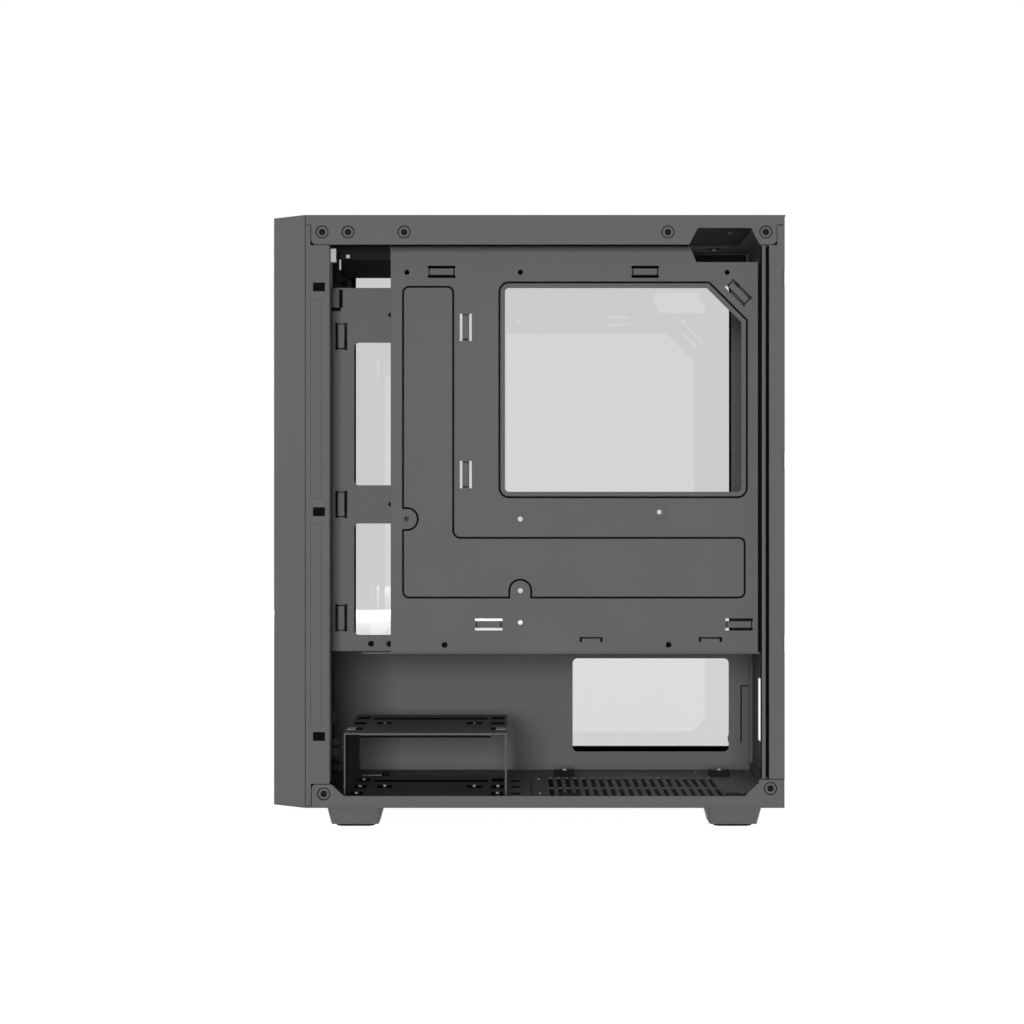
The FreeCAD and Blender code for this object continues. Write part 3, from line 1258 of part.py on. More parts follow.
def make_feet():
    number = 0
    tall = s.foot_height - s.sole
    slope = "-1 * atan(%s / %s)" % (s.foot_taper.formula, tall.formula)
    for x0 in (inboard(s.foot_in + s.foot_wide), left + s.foot_in):
        for y0 in (depth(s.foot_front), depth(s.foot_rear)):
            number += 1
            x1 = x0 + s.foot_wide
            y1 = y0 + s.foot_long
            foot = new_body("foot_%d" % number)
            sketch = new_sketch(foot, "XY", base, "Foot%d" % number)
            foot_plan(sketch, x0, y0, x1, y1, s.foot_bevel)
            block = pad(foot, sketch, tall, backward=True)
            block.TaperAngle = -math.degrees(math.atan(s.foot_taper.value / tall.value))
            block.setExpression("TaperAngle", slope)
            doc.recompute([foot])
            rubber = new_body("foot_sole_%d" % number)
            sketch = new_sketch(rubber, "XY", length(0), "Sole%d" % number)
            edge = s.foot_taper + s.sole_inset
            foot_plan(sketch, x0 + edge, y0 + edge, x1 - edge, y1 - edge, s.sole_inset)
            pad(rubber, sketch, s.sole)


def make_supply_rests():
    number = 0
    for side in (-1, 1):
        for i in range(2):
            number += 1
            rest = new_body("supply_rest_%d" % number)
            x_mid = inboard(s.supply_in) + side * (s.supply_width / 2 - s.pad_wide)
            sketch = new_sketch(rest, "XY", floor_top, "Rest%d" % number)
            middle_box(sketch, x_mid, depth(s.pad_front) + i * s.pad_span, s.pad_wide, s.pad_long)
            pad(rest, sketch, s.pad_height)


# Expansion slot covers, and the cover over their screw tabs
def make_slot_covers():
    inner = step_out - 2 * s.steel
    shelf = inboard(s.cover_start + s.cover_long)
    near = inboard(s.cover_start)
    for i in range(4):
        body = new_body("slot_cover_%d" % (i + 1))
        z = slot_height(i)
        wide = s.cover_wide / 2
        foot = s.cover_foot / 2
        neck = near - s.cover_foot_long
        sketch = new_sketch(body, "XZ", inner, "Cover%d" % (i + 1))
        outline(sketch, [
            (shelf, z - wide), (neck, z - wide), (near, z - foot), (near, z + foot), (neck, z + wide),
            (shelf, z + wide)])
        pad(body, sketch, s.steel, backward=True)
        sketch = new_sketch(body, "YZ", shelf, "Tab%d" % (i + 1))
        box(sketch, inner, z - wide, inner + s.cover_tab, z + wide)
        pad(body, sketch, s.steel)
        sketch = new_sketch(body, "YZ", shelf + s.steel / 2, "TabNotch%d" % (i + 1))
        box(sketch, step_out + s.shelf_out / 2 - s.steel, z - s.screw_hole, inner + s.cover_tab + s.steel,
            z + s.screw_hole)
        cut(body, sketch, 3 * s.steel)


def make_tab_cover():
    body = new_body("tab_cover")
    shelf = inboard(s.cover_start + s.cover_long) - s.fit_gap - s.steel
    low = slot_height(3) - s.cover_wide / 2
    high = slot_height(0) + s.cover_wide / 2
    outer = step_out + s.shelf_out
    sketch = new_sketch(body, "XY", low, "TabCoverSection")
    leg = shelf + s.steel + s.shelf_wide
    outline(sketch, [
        (shelf, outer), (shelf, outer - s.steel), (leg - s.steel, outer - s.steel), (leg - s.steel, step_out),
        (leg, step_out), (leg, outer)])
    pad(body, sketch, high - low)


# Ports and buttons under the front of the roof
def port_board_top():
    return roof_under - s.board_drop


def make_port_bracket():
    body = new_body("port_bracket")
    x1 = inboard(s.power_in - s.board_margin)
    x0 = inboard(s.usb_in + s.usb_pitch + s.board_margin)
    half = s.board_wide / 2 + s.fit_gap
    y0 = depth(s.port_front) - half
    y1 = depth(s.port_front) + half
    low = roof_under - s.bracket_drop
    sheet_t = s.steel
    sketch = new_sketch(body, "YZ", x0, "BracketSection")
    outline(sketch, [
        (y0 - sheet_t - s.bracket_fold, roof_under), (y0, roof_under), (y0, low + sheet_t), (y1, low + sheet_t),
        (y1, roof_under), (y1 + sheet_t + s.bracket_fold, roof_under),
        (y1 + sheet_t + s.bracket_fold, roof_under - sheet_t), (y1 + sheet_t, roof_under - sheet_t),
        (y1 + sheet_t, low), (y0 - sheet_t, low), (y0 - sheet_t, roof_under - sheet_t),
        (y0 - sheet_t - s.bracket_fold, roof_under - sheet_t)])
    pad(body, sketch, x1 - x0)
    sketch = new_sketch(body, "XY", low + sheet_t, "BracketPosts")
    for x in (x0 + s.post_side, x1 - s.post_side):
        for y in (y0 + s.post_side, y1 - s.post_side):
            middle_box(sketch, x, y, s.post_side, s.post_side)
    pad(body, sketch, port_board_top() - s.board_thick - low - sheet_t)


def make_port_board():
    body = new_body("port_board")
    x1 = inboard(s.power_in - s.board_margin)
    x0 = inboard(s.usb_in + s.usb_pitch + s.board_margin)
    y_mid = depth(s.port_front)
    under = port_board_top() - s.board_thick
    sketch = new_sketch(body, "XY", under, "Board")
    middle_box(sketch, (x0 + x1) / 2, y_mid, x1 - x0, s.board_wide)
    pad(body, sketch, s.board_thick)
    for i, place in enumerate((s.power_in, s.usb_in), start=1):
        plug = new_body("header_block_%d" % i)
        sketch = new_sketch(plug, "XY", under - s.plug_tall, "Header%d" % i)
        middle_box(sketch, inboard(place), y_mid, s.plug_wide * 2, s.plug_wide)
        pad(plug, sketch, s.plug_tall)


def make_ports():
    row = depth(s.port_front)
    low = port_board_top()
    for i in range(2):
        jack = new_body("sound_jack_%d" % (i + 1))
        x = inboard(s.jack_in + i * s.jack_pitch)
        sketch = new_sketch(jack, "XY", low, "JackBarrel%d" % (i + 1))
        many_sided(sketch, x, row, s.jack_radius, ROUND_SIDES)
        pad(jack, sketch, top - low)
        sketch = new_sketch(jack, "XY", top, "JackBore%d" % (i + 1))
        many_sided(sketch, x, row, s.jack_bore, SMALL_SIDES)
        cut(jack, sketch, 2 * (s.board_drop - s.jack_radius))
        port = new_body("data_port_%d" % (i + 1))
        x = inboard(s.usb_in + i * s.usb_pitch)
        sketch = new_sketch(port, "XY", low, "PortShell%d" % (i + 1))
        middle_box(sketch, x, row, s.usb_long, s.usb_wide)
        pad(port, sketch, top - low)
        sketch = new_sketch(port, "XY", top, "PortMouth%d" % (i + 1))
        middle_box(sketch, x, row, s.usb_long - 2 * s.usb_shell, s.usb_wide - 2 * s.usb_shell)
        cut(port, sketch, 2 * (s.board_drop - s.usb_shell * 4))
        sketch = new_sketch(port, "XY", low, "PortTongue%d" % (i + 1))
        middle_box(sketch, x, row - s.usb_shell, s.usb_long - 6 * s.usb_shell, s.usb_shell * 3)
        pad(port, sketch, s.board_drop - s.usb_shell)


def make_buttons():
    """Power and reset button, each with a collar under the roof, above a small switch on the board."""
    row = depth(s.port_front)
    low = port_board_top()
    collar_top = roof_under - s.fit_gap
    for name, place, radius in (("power", s.power_in, s.power_radius), ("reset", s.reset_in, s.reset_radius)):
        x = inboard(place)
        button = new_body(name + "_button")
        sketch = new_sketch(button, "XY", collar_top, name.title() + "Cap")
        circle(sketch, x, row, radius)
        pad(button, sketch, top - collar_top)
        sketch = new_sketch(button, "XY", collar_top - s.button_flange, name.title() + "Collar")
        middle_box(sketch, x, row, 2 * (radius + s.button_flange), 2 * (radius + s.button_flange))
        pad(button, sketch, s.button_flange)
        stem_low = low + s.switch_tall + s.button_travel + s.fit_gap
        sketch = new_sketch(button, "XY", stem_low, name.title() + "Stem")
        middle_box(sketch, x, row, s.stem_side, s.stem_side)
        pad(button, sketch, collar_top - s.button_flange - stem_low)
        switch = new_body(name + "_switch")
        sketch = new_sketch(switch, "XY", low, name.title() + "Switch")
        middle_box(sketch, x, row, s.switch_side, s.switch_side)
        pad(switch, sketch, s.switch_tall - s.plunger_tall)
        sketch = new_sketch(switch, "XY", low, name.title() + "Plunger")
        middle_box(sketch, x, row, s.plunger_side, s.plunger_side)
        pad(switch, sketch, s.switch_tall)


def write_parts():
    """Every body is checked, then written under its own label."""
    doc.recompute()
    for item in doc.Objects:
        if "Invalid" in item.State or "Error" in item.State:
            raise RuntimeError("%s: %s" % (item.Name, item.State))
    for body in nodes:
        if body.Shape.isNull() or not body.Shape.isValid():
            raise RuntimeError(body.Label + " has no valid shape")
    for body in nodes:
        body.Shape.exportStep("parts/%s.step" % body.Label)


make_roof()
make_floor()
make_filters()
make_front_sheet()
make_front_post()
make_rear_post()
make_rear_sheet()
make_tray()
make_cable_plate()
make_shroud()
make_cage()
make_bezel()
make_mesh()
make_glass()
make_glass_fixings()
make_feet()
make_supply_rests()
make_slot_covers()
make_tab_cover()
make_port_bracket()
make_port_board()
make_ports()
make_buttons()
write_parts()
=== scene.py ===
import bmesh
import bpy
import json
import math
from mathutils import Matrix, Vector


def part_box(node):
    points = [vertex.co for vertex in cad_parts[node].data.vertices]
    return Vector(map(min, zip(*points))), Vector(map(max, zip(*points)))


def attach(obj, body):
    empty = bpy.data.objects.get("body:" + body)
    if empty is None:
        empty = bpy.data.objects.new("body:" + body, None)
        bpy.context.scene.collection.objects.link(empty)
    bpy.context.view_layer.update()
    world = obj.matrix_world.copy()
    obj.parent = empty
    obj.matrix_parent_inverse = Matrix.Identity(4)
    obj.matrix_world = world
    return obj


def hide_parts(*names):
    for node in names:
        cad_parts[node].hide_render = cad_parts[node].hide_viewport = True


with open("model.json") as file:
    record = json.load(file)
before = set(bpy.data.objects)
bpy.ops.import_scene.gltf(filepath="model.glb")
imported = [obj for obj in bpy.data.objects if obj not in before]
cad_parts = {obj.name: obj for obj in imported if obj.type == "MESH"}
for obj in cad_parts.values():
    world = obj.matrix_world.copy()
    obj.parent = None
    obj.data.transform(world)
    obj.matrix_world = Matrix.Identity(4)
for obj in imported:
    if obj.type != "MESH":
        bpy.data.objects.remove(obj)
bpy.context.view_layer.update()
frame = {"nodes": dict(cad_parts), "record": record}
nodes = frame["nodes"]

MM = 0.001

# Faces of the case in millimetres, in the part's own frame: X across, Y back, Z up
RIGHT = 107.6         # open side
LEFT = -96.4          # steel of the glass side
FRONT = -146.7        # chassis behind the bezel
BACK = 154.3          # rear sheet
TOP = 385.0           # roof
FLOOR_TOP = 13.5      # floor's upper face
TRAY = 85.2           # motherboard tray, near face
PLATE = 73.2          # cable plate, near face
COVER_WALL = -91.4    # far wall of the supply cover, near face
COVER_TOP = 108.9     # supply cover's upper face
RAIL_FACE = 107.1     # sunk faces of the dimples in the rails

# Drive cage
CAGE_NEAR = 82.6
CAGE_FRONT = -124.5
CAGE_REAR = -20.5
CAGE_TOP = 57.0
CAGE_FLOOR = 14.5
CAGE_SLOTS = (54.0, 91.5, 129.0)    # slots beside the walls, in from the open side
CAGE_SLOT_ROWS = (-118.3, -26.7)
WINGED_ROWS = (-102.2, -42.2)       # winged holes for the drive's screws
WINGED_MIDDLE = 15.6

# Cable ties on the tray and the cable plate: back from the chassis front, height, and how they lie
TIE_LONG = 17.5
TIE_RISE = 1.2
TIE_BAR = 4.3
BEND_WIDE = 0.7
TRAY_TIES = [
    (84.8, 351.7, 0.0), (214.7, 351.7, 0.0), (114.8, 126.6, 0.0), (274.6, 126.6, 0.0),
    (100.2, 316.3, 90.0), (100.2, 222.3, 90.0), (274.3, 338.5, -45.0)]
PLATE_TIES = [(19.8, 311.4, 90.0), (19.8, 203.3, 90.0), (19.8, 130.3, 90.0)]

# Dimples in the rails: back from the chassis front, and height
DIMPLES = [
    (10.4, 374.3), (26.7, 374.3), (61.9, 374.3), (227.7, 374.3), (289.2, 374.3), (11.4, 21.3), (292.1, 24.7)]

# Painted shade on the floors of the pressed lines in the tray
LINE_WIDE = 1.25
LINE_SUNK = 0.55
LINE_THICK = 0.59

# Camera: level, square to the open side
CAMERA_AWAY = 1400.0
CAMERA_BACK = -17.0
CAMERA_UP = 198.4
CAMERA_LENS = 78.36
SENSOR = 36.0

# Light
SKY_STRENGTH = 0.12
FLOOR_GLOW = 0.97
FLOOR_GREY = 0.24
FLOOR_HALF = 14.0
WHITE = (1.0, 1.0, 1.0, 1.0)

# Grain of the finishes
EDGE_ROUND = 0.0007
EVEN = (1.0, 1.0, 1.0)
BROAD_GRAIN = 22.0
HAZE_GRAIN = 30.0


# Materials
def new_material(name):
    material = bpy.data.materials.new(name)
    material.use_nodes = True
    tree = material.node_tree
    surface = tree.nodes["Principled BSDF"]
    return material, tree, surface


def object_noise(tree, scale, detail, stretch=EVEN):
    """Noise that stays on the piece, with a stretch along its axes."""
    place = tree.nodes.new("ShaderNodeTexCoord")
    turn = tree.nodes.new("ShaderNodeMapping")
    turn.inputs["Scale"].default_value = stretch
    noise = tree.nodes.new("ShaderNodeTexNoise")
    noise.inputs["Scale"].default_value = scale
    noise.inputs["Detail"].default_value = detail
    tree.links.new(place.outputs["Object"], turn.inputs["Vector"])
    tree.links.new(turn.outputs["Vector"], noise.inputs["Vector"])
    return noise


def vary_colour(tree, surface, noise, colour, spread):
    """Two close shades of a colour, mixed by the noise."""
    ramp = tree.nodes.new("ShaderNodeValToRGB")
    dark, light = ramp.color_ramp.elements
    dark.position = 0.35
    light.position = 0.65
    dark.color = tuple(c * (1 - spread) for c in colour) + (1.0,)
    light.color = tuple(c * (1 + spread) for c in colour) + (1.0,)
    tree.links.new(noise.outputs["Fac"], ramp.inputs["Fac"])
    tree.links.new(ramp.outputs["Color"], surface.inputs["Base Color"])


def vary_roughness(tree, surface, noise, low, high):
    """Roughness that the noise moves between two values."""
    spread = tree.nodes.new("ShaderNodeMapRange")
    spread.inputs["To Min"].default_value = low
    spread.inputs["To Max"].default_value = high
    tree.links.new(noise.outputs["Fac"], spread.inputs["Value"])
    tree.links.new(spread.outputs["Result"], surface.inputs["Roughness"])


def add_bump(tree, surface, noise, height, strength, edge):
    """Fine relief from the noise, over edges softened by a small radius."""
    bump = tree.nodes.new("ShaderNodeBump")
    if edge > 0:
        soft_edge = tree.nodes.new("ShaderNodeBevel")
        soft_edge.samples = 4
        soft_edge.inputs["Radius"].default_value = edge
        tree.links.new(soft_edge.outputs["Normal"], bump.inputs["Normal"])
    bump.inputs["Distance"].default_value = height
    bump.inputs["Strength"].default_value = strength
    tree.links.new(noise.outputs["Fac"], bump.inputs["Height"])
    tree.links.new(bump.outputs["Normal"], surface.inputs["Normal"])


def make_finish(name, colour, rough, grain, height, strength=0.35, spread=0.03, metal=0.0, specular=0.5,
                stretch=EVEN, edge=0.0):
    """A finish with its grain, its uneven gloss and a slight change of shade."""
    material, tree, surface = new_material(name)
    surface.inputs["Metallic"].default_value = metal
    surface.inputs["Specular IOR Level"].default_value = specular
    fine = object_noise(tree, grain, 3.0, stretch)
    broad = object_noise(tree, BROAD_GRAIN, 2.0)
    vary_colour(tree, surface, broad, colour, spread)
    vary_roughness(tree, surface, fine, rough[0], rough[1])
    add_bump(tree, surface, fine, height, strength, edge)
    material.diffuse_color = tuple(colour) + (1.0,)
    return material


def make_glass():
    """Clear glass with a light grey tint and hardly any haze."""
    material, tree, surface = new_material("tempered_glass")
    surface.inputs["Base Color"].default_value = (0.645, 0.65, 0.655, 1.0)
    surface.inputs["Transmission Weight"].default_value = 1.0
    surface.inputs["IOR"].default_value = 1.5
    haze = object_noise(tree, HAZE_GRAIN, 2.0)
    vary_roughness(tree, surface, haze, 0.0, 0.012)
    material.diffuse_color = (0.5, 0.5, 0.5, 0.4)
    return material


# Steel and plastic of the case
powder_coat = make_finish(
    "powder_coat", (0.142, 0.148, 0.154), (0.62, 0.74), 1400.0, 0.00004,
    spread=0.012, specular=0.1, edge=EDGE_ROUND)
bezel_plastic = make_finish(
    "bezel_plastic", (0.123, 0.129, 0.135), (0.5, 0.62), 2600.0, 0.00003,
    spread=0.012, specular=0.3, edge=EDGE_ROUND)
foot_plastic = make_finish(
    "foot_plastic", (0.115, 0.12, 0.126), (0.5, 0.64), 2200.0, 0.00004,
    spread=0.02, edge=EDGE_ROUND)
soft_rubber = make_finish(
    "soft_rubber", (0.014, 0.014, 0.015), (0.75, 0.92), 1800.0, 0.00008,
    spread=0.08, specular=0.2)
filter_weave = make_finish(
    "filter_weave", (0.012, 0.0125, 0.013), (0.7, 0.9), 1600.0, 0.0002,
    strength=0.8, spread=0.2, specular=0.1, stretch=(1.0, 0.25, 1.0))

# Fittings
satin_black = make_finish(
    "satin_black", (0.022, 0.022, 0.024), (0.32, 0.46), 2400.0, 0.00002,
    spread=0.05, specular=0.35)
black_steel = make_finish(
    "black_steel", (0.03, 0.03, 0.032), (0.36, 0.48), 3000.0, 0.00002,
    spread=0.08, specular=0.3)
nickel = make_finish(
    "nickel", (0.62, 0.61, 0.58), (0.2, 0.34), 1600.0, 0.00001,
    spread=0.04, metal=1.0, stretch=(1.0, 1.0, 6.0))
port_plastic = make_finish(
    "port_plastic", (0.011, 0.011, 0.012), (0.5, 0.65), 2600.0, 0.00002,
    spread=0.06, specular=0.15)
solder_mask = make_finish(
    "solder_mask", (0.008, 0.022, 0.014), (0.26, 0.36), 900.0, 0.00003,
    spread=0.12)
pale_plastic = make_finish(
    "pale_plastic", (0.5, 0.5, 0.49), (0.4, 0.55), 1500.0, 0.00002,
    spread=0.03)

# Painted shade, and print
# A near-black finish for the pieces that paint shade in grooves, slots, holes, joints and bends
painted_shade = make_finish(
    "painted_shade", (0.006, 0.0062, 0.0066), (0.8, 0.95), 900.0, 0.00002,
    spread=0.05, specular=0.03)
border_paint = make_finish(
    "border_paint", (0.01, 0.01, 0.011), (0.5, 0.6), 1200.0, 0.00002,
    spread=0.05, specular=0.1)
side_glass = make_glass()

FINISHES = {
    "grey_steel": powder_coat, "tinted_glass": side_glass, "soft_rubber": soft_rubber,
    "foot_plastic": foot_plastic, "bezel_plastic": bezel_plastic, "button_plastic": satin_black,
    "black_screw": black_steel, "port_shell": nickel, "connector_plastic": port_plastic,
    "circuit_board": solder_mask, "filter_cloth": filter_weave}


def dress_nodes():
    """Each node takes the finish of its slot in the record."""
    slot_of = {}
    for part in frame["record"]["subparts"]:
        slot_of[part["node"]] = part["material_slot"]
    for name, piece in nodes.items():
        finish = FINISHES[slot_of[name]]
        if not piece.material_slots:
            piece.data.materials.append(finish)
        for place in piece.material_slots:
            place.material = finish


# Shapes, all in millimetres
def finish_piece(name, work, material, smooth=False):
    """A mesh piece from finished bmesh work, riding on the case."""
    mesh = bpy.data.meshes.new(name)
    work.to_mesh(mesh)
    work.free()
    mesh.materials.append(material)
    if smooth:
        for face in mesh.polygons:
            face.use_smooth = True
    piece = bpy.data.objects.new(name, mesh)
    bpy.context.scene.collection.objects.link(piece)
    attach(piece, "case")
    return piece


def tidy_normals(work):
    bmesh.ops.recalc_face_normals(work, faces=work.faces[:])


def add_block(work, low, high):
    """A block between two corners."""
    low, high = Vector(low) * MM, Vector(high) * MM
    size = high - low
    place = Matrix.Translation((low + high) / 2) @ Matrix.Diagonal((size.x, size.y, size.z, 1.0))
    bmesh.ops.create_cube(work, size=1.0, matrix=place)


def add_turned_block(work, middle, size, turn):
    """A block about its middle, turned in the plane of the open side."""
    place = (Matrix.Translation(Vector(middle) * MM) @ Matrix.Rotation(turn, 4, "X")
             @ Matrix.Diagonal((size[0] * MM, size[1] * MM, size[2] * MM, 1.0)))
    bmesh.ops.create_cube(work, size=1.0, matrix=place)


TURN_TO = {
    "x": Matrix.Rotation(math.pi / 2, 4, "Y"), "y": Matrix.Rotation(math.pi / 2, 4, "X"),
    "z": Matrix.Identity(4)}


def add_disc(work, middle, radius, thick, axis, sides=20):
    """A short round piece about its middle."""
    place = Matrix.Translation(Vector(middle) * MM) @ TURN_TO[axis]
    bmesh.ops.create_cone(work, cap_ends=True, cap_tris=False, segments=sides, radius1=radius * MM,
                          radius2=radius * MM, depth=thick * MM, matrix=place)


def add_ring(work, place, radius, height, sides):
    """Points round a place's upright axis, at a height over it."""
    points = []
    for i in range(sides):
        turn = 2 * math.pi * i / sides
        points.append(work.verts.new(place @ Vector((
            radius * MM * math.cos(turn), radius * MM * math.sin(turn), height * MM))))
    return points


def join_rings(work, near, far):
    """Faces between two closed rows of points."""
    for i in range(len(near)):
        j = (i + 1) % len(near)
        work.faces.new((near[i], near[j], far[j], far[i]))


def join_loop(work, rows):
    """Faces from each row to the next, and from the last to the first."""
    for near, far in zip(rows, rows[1:] + rows[:1]):
        join_rings(work, near, far)


def add_washer(work, middle, inner, outer, thick, axis, sides=32):
    """A flat ring about its middle."""
    place = Matrix.Translation(Vector(middle) * MM) @ TURN_TO[axis]
    half = thick / 2
    join_loop(work, [
        add_ring(work, place, inner, -half, sides), add_ring(work, place, outer, -half, sides),
        add_ring(work, place, outer, half, sides), add_ring(work, place, inner, half, sides)])


def add_dome(work, middle, radius, tall, sides=12):
    """A low round head that stands on a level face."""
    place = Matrix.Translation(Vector(middle) * MM)
    rings = []
    for turn in (0.0, math.radians(30.0), math.radians(60.0)):
        rings.append(add_ring(work, place, radius * math.cos(turn), tall * math.sin(turn), sides))
    for low, high in zip(rings, rings[1:]):
        join_rings(work, low, high)
    work.faces.new(rings[-1])
    work.faces.new(list(reversed(rings[0])))


def step_sign(number):
    if abs(number) < 1e-6:
        return 0
    return 1 if number > 0 else -1


def rounded_path(corners, steps=5):
    """Points along an outline; a corner with a radius is rounded where level and upright edges meet."""
    points = []
    for i, corner in enumerate(corners):
        if len(corner) == 2:
            points.append(corner)
            continue
        y, z, radius = corner
        before, after = corners[i - 1], corners[(i + 1) % len(corners)]
        in_y, in_z = step_sign(y - before[0]), step_sign(z - before[1])
        out_y, out_z = step_sign(after[0] - y), step_sign(after[1] - z)
        middle = (y + (out_y - in_y) * radius, z + (out_z - in_z) * radius)
        for k in range(steps + 1):
            turn = math.pi / 2 * k / steps
            points.append((
                middle[0] - out_y * radius * math.cos(turn) + in_y * radius * math.sin(turn),
                middle[1] - out_z * radius * math.cos(turn) + in_z * radius * math.sin(turn)))
    return points


def add_ribbon(work, points, width, x, thick):
    """A closed band along an outline in the plane of the open side."""
    inner, outer = [], []
    count = len(points)
    for i in range(count):
        here = Vector(points[i])
        come = (here - Vector(points[i - 1])).normalized()
        go = (Vector(points[(i + 1) % count]) - here).normalized()
        across = Vector((-(come.y + go.y), come.x + go.x)).normalized()
        reach = width / 2 / max(0.5, across.dot(Vector((-go.y, go.x))))
        inner.append(here + across * reach)
        outer.append(here - across * reach)
    rows = []
    for side, height in ((inner, x), (outer, x), (outer, x + thick), (inner, x + thick)):
        rows.append([work.verts.new((height * MM, point.x * MM, point.y * MM)) for point in side])
    join_loop(work, rows)


# Pieces
def make_glass_border():
    """Black border printed on the glass panel's inner face, in four strips with mitred corners.

    The print is a flat film with a face on each side.
    """
    inset = 1.2 * MM
    window = (-129.3 * MM, 139.2 * MM, 30.0 * MM, 366.8 * MM)
    lift = 0.04 * MM
    low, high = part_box("glass_panel")
    work = bmesh.new()
    rings = []
    for front, rear, bottom, top in (
            (low.y + inset, high.y - inset, low.z + inset, high.z - inset), window):
        rings.append([work.verts.new((high.x + lift, y, z)) for y, z in (
            (front, bottom), (rear, bottom), (rear, top), (front, top))])
    join_rings(work, rings[0], rings[1])
    bmesh.ops.solidify(work, geom=work.faces[:], thickness=0.0)
    tidy_normals(work)
    finish_piece("glass_border", work, border_paint)


def make_painted_tie_shade():
    """Painted shade at the bends at both ends of each raised tie bar."""
    thick = 0.2
    reach = TIE_LONG / 2 - TIE_RISE + BEND_WIDE / 2
    work = bmesh.new()
    for face, ties in ((TRAY, TRAY_TIES), (PLATE, PLATE_TIES)):
        for back, height, turn in ties:
            angle = math.radians(turn)
            for side in (-1, 1):
                middle = (face + thick / 2, FRONT + back + side * reach * math.cos(angle),
                          height + side * reach * math.sin(angle))
                add_turned_block(work, middle, (thick, BEND_WIDE, TIE_BAR), angle)
    finish_piece("painted_tie_shade", work, painted_shade)


def cooler_line():
    """Outline of the pressed line round the cooler cut-out, whose upper rear corner is cut off."""
    offset = 3.5
    front, rear = FRONT + 125.2 - offset, FRONT + 276.1 + offset
    bottom, top = 211.3 - offset, 341.4 + offset
    cut_corner = 22.0 + (2 - math.sqrt(2)) * offset
    rounding = 2.5 + offset
    return [
        (front, bottom, rounding), (rear, bottom, rounding), (rear, top - cut_corner), (rear - cut_corner, top),
        (front, top, rounding)]


def field_line():
    """Outline of the L-shaped pressed field, with round notches at two board holes."""
    half = 0.5
    front, rear = FRONT + 59.7 + half, FRONT + 278.7 - half
    bottom, top = 143.3 + half, 342.6 - half
    arm, bar = FRONT + 92.7 - half, 182.4 - half
    outer, inner = 4.2 - half, 4.2 + half
    notch, curve = 6.5 + half, 6.3 + half
    side_y, side_z = FRONT + 62.6, 193.92
    low_y, low_z = FRONT + 134.99, 148.2
    return [
        (front, bottom, outer), (low_y - notch, bottom), (low_y - notch, low_z + notch, curve),
        (low_y + notch, low_z + notch, curve), (low_y + notch, bottom), (rear, bottom, outer), (rear, bar, outer),
        (arm, bar, inner), (arm, top, outer), (front, top, outer), (front, side_z + notch),
        (side_y + notch, side_z + notch, curve), (side_y + notch, side_z - notch, curve),
        (front, side_z - notch)]


def make_painted_line_shade():
    """Painted shade on the floors of the two pressed lines in the tray."""
    work = bmesh.new()
    for outline in (cooler_line(), field_line()):
        add_ribbon(work, rounded_path(outline), LINE_WIDE, TRAY - LINE_SUNK, LINE_THICK)
    tidy_normals(work)
    finish_piece("painted_line_shade", work, painted_shade)


def make_dimple_shade_and_screws():
    """Painted shade at the rim and in the countersink of each rail dimple, and the screw sunk in it."""
    thick = 0.1
    work = bmesh.new()
    for back, height in DIMPLES:
        middle = (RAIL_FACE + thick / 2, FRONT + back, height)
        add_washer(work, middle, 3.45, 4.0, thick, "x")
        add_washer(work, middle, 1.35, 2.0, thick, "x", 20)
    tidy_normals(work)
    finish_piece("painted_dimple_shade", work, painted_shade)
    # The sunk screws take a finish darker than the black screws elsewhere, which paints the shade in the dimples'
    # holes
    work = bmesh.new()
    for back, height in DIMPLES:
        add_disc(work, (RAIL_FACE - 0.6, FRONT + back, height), 1.45, 0.6, "x", 16)
    finish_piece("rail_screws", work, port_plastic)


def make_post_shades():
    """Painted shade in the grooves and joints along the rear post, and behind the hook holes in the front post.
    """
    low, high = 31.2, 365.8
    near, far = TRAY + 0.02, TRAY + 0.2
    work = bmesh.new()
    # Painted shade in the groove beside the hem, and on the hem's front face
    add_block(work, (100.6, 142.45, low), (101.2, 144.45, high))
    add_block(work, (100.6, 144.3, low), (106.9, 144.45, high))
    add_block(work, (99.7, 139.9, low), (106.7, 140.05, high))
    # Painted shade at the joints of the tray with the post and the roof rail, and at the post's foot
    add_block(work, (near, 139.9, COVER_TOP), (far, 149.2, 357.7))
    add_block(work, (near, -94.3, 368.1), (far, 96.0, 369.8))
    add_block(work, (105.9, 141.0, 27.0), (106.5, 153.2, 30.6))
    # Painted shade behind the hook holes
    for height in (57.4, 198.6, 339.8):
        add_block(work, (105.6, -142.6, height - 3.4), (106.2, -133.9, height + 3.4))
    finish_piece("post_shades", work, painted_shade)


def make_painted_tray_shade():
    """Painted shade in the locking slits and screw holes along the tray's lower edge, and in the slit and notches
    of the cable plate.
    """
    work = bmesh.new()
    # Painted shade in the locking slits
    for back in (180.2, 256.3):
        for side in (-1, 1):
            y = FRONT + back + side * 6.6
            add_block(work, (TRAY, y - 0.75, 115.4), (TRAY + 0.15, y + 0.75, 118.6))
        add_block(work, (TRAY, FRONT + back - 7.2, 117.8), (TRAY + 0.15, FRONT + back + 7.2, 118.5))
    # Painted shade in the screw holes
    for face, places in ((TRAY, (86.7, 229.6)), (PLATE, (39.0, 50.8))):
        for back in places:
            add_disc(work, (face - 0.5, FRONT + back, 113.6), 1.8, 0.8, "x", 16)
    # Painted shade in the slit round the plate's bent tab
    add_block(work, (PLATE, -128.3, 329.9), (PLATE + 0.2, -125.9, 341.4))
    add_block(work, (PLATE, -134.2, 327.7), (PLATE + 0.2, -127.2, 329.9))
    # Painted shade in the corners of two notches, half hidden by the tray
    for y, z, side in ((-94.6, 325.2, 3.4), (-94.8, 203.4, 3.0)):
        add_turned_block(work, (PLATE + 0.1, y, z), (0.2, side, side), math.radians(45.0))
    finish_piece("painted_tray_shade", work, painted_shade)


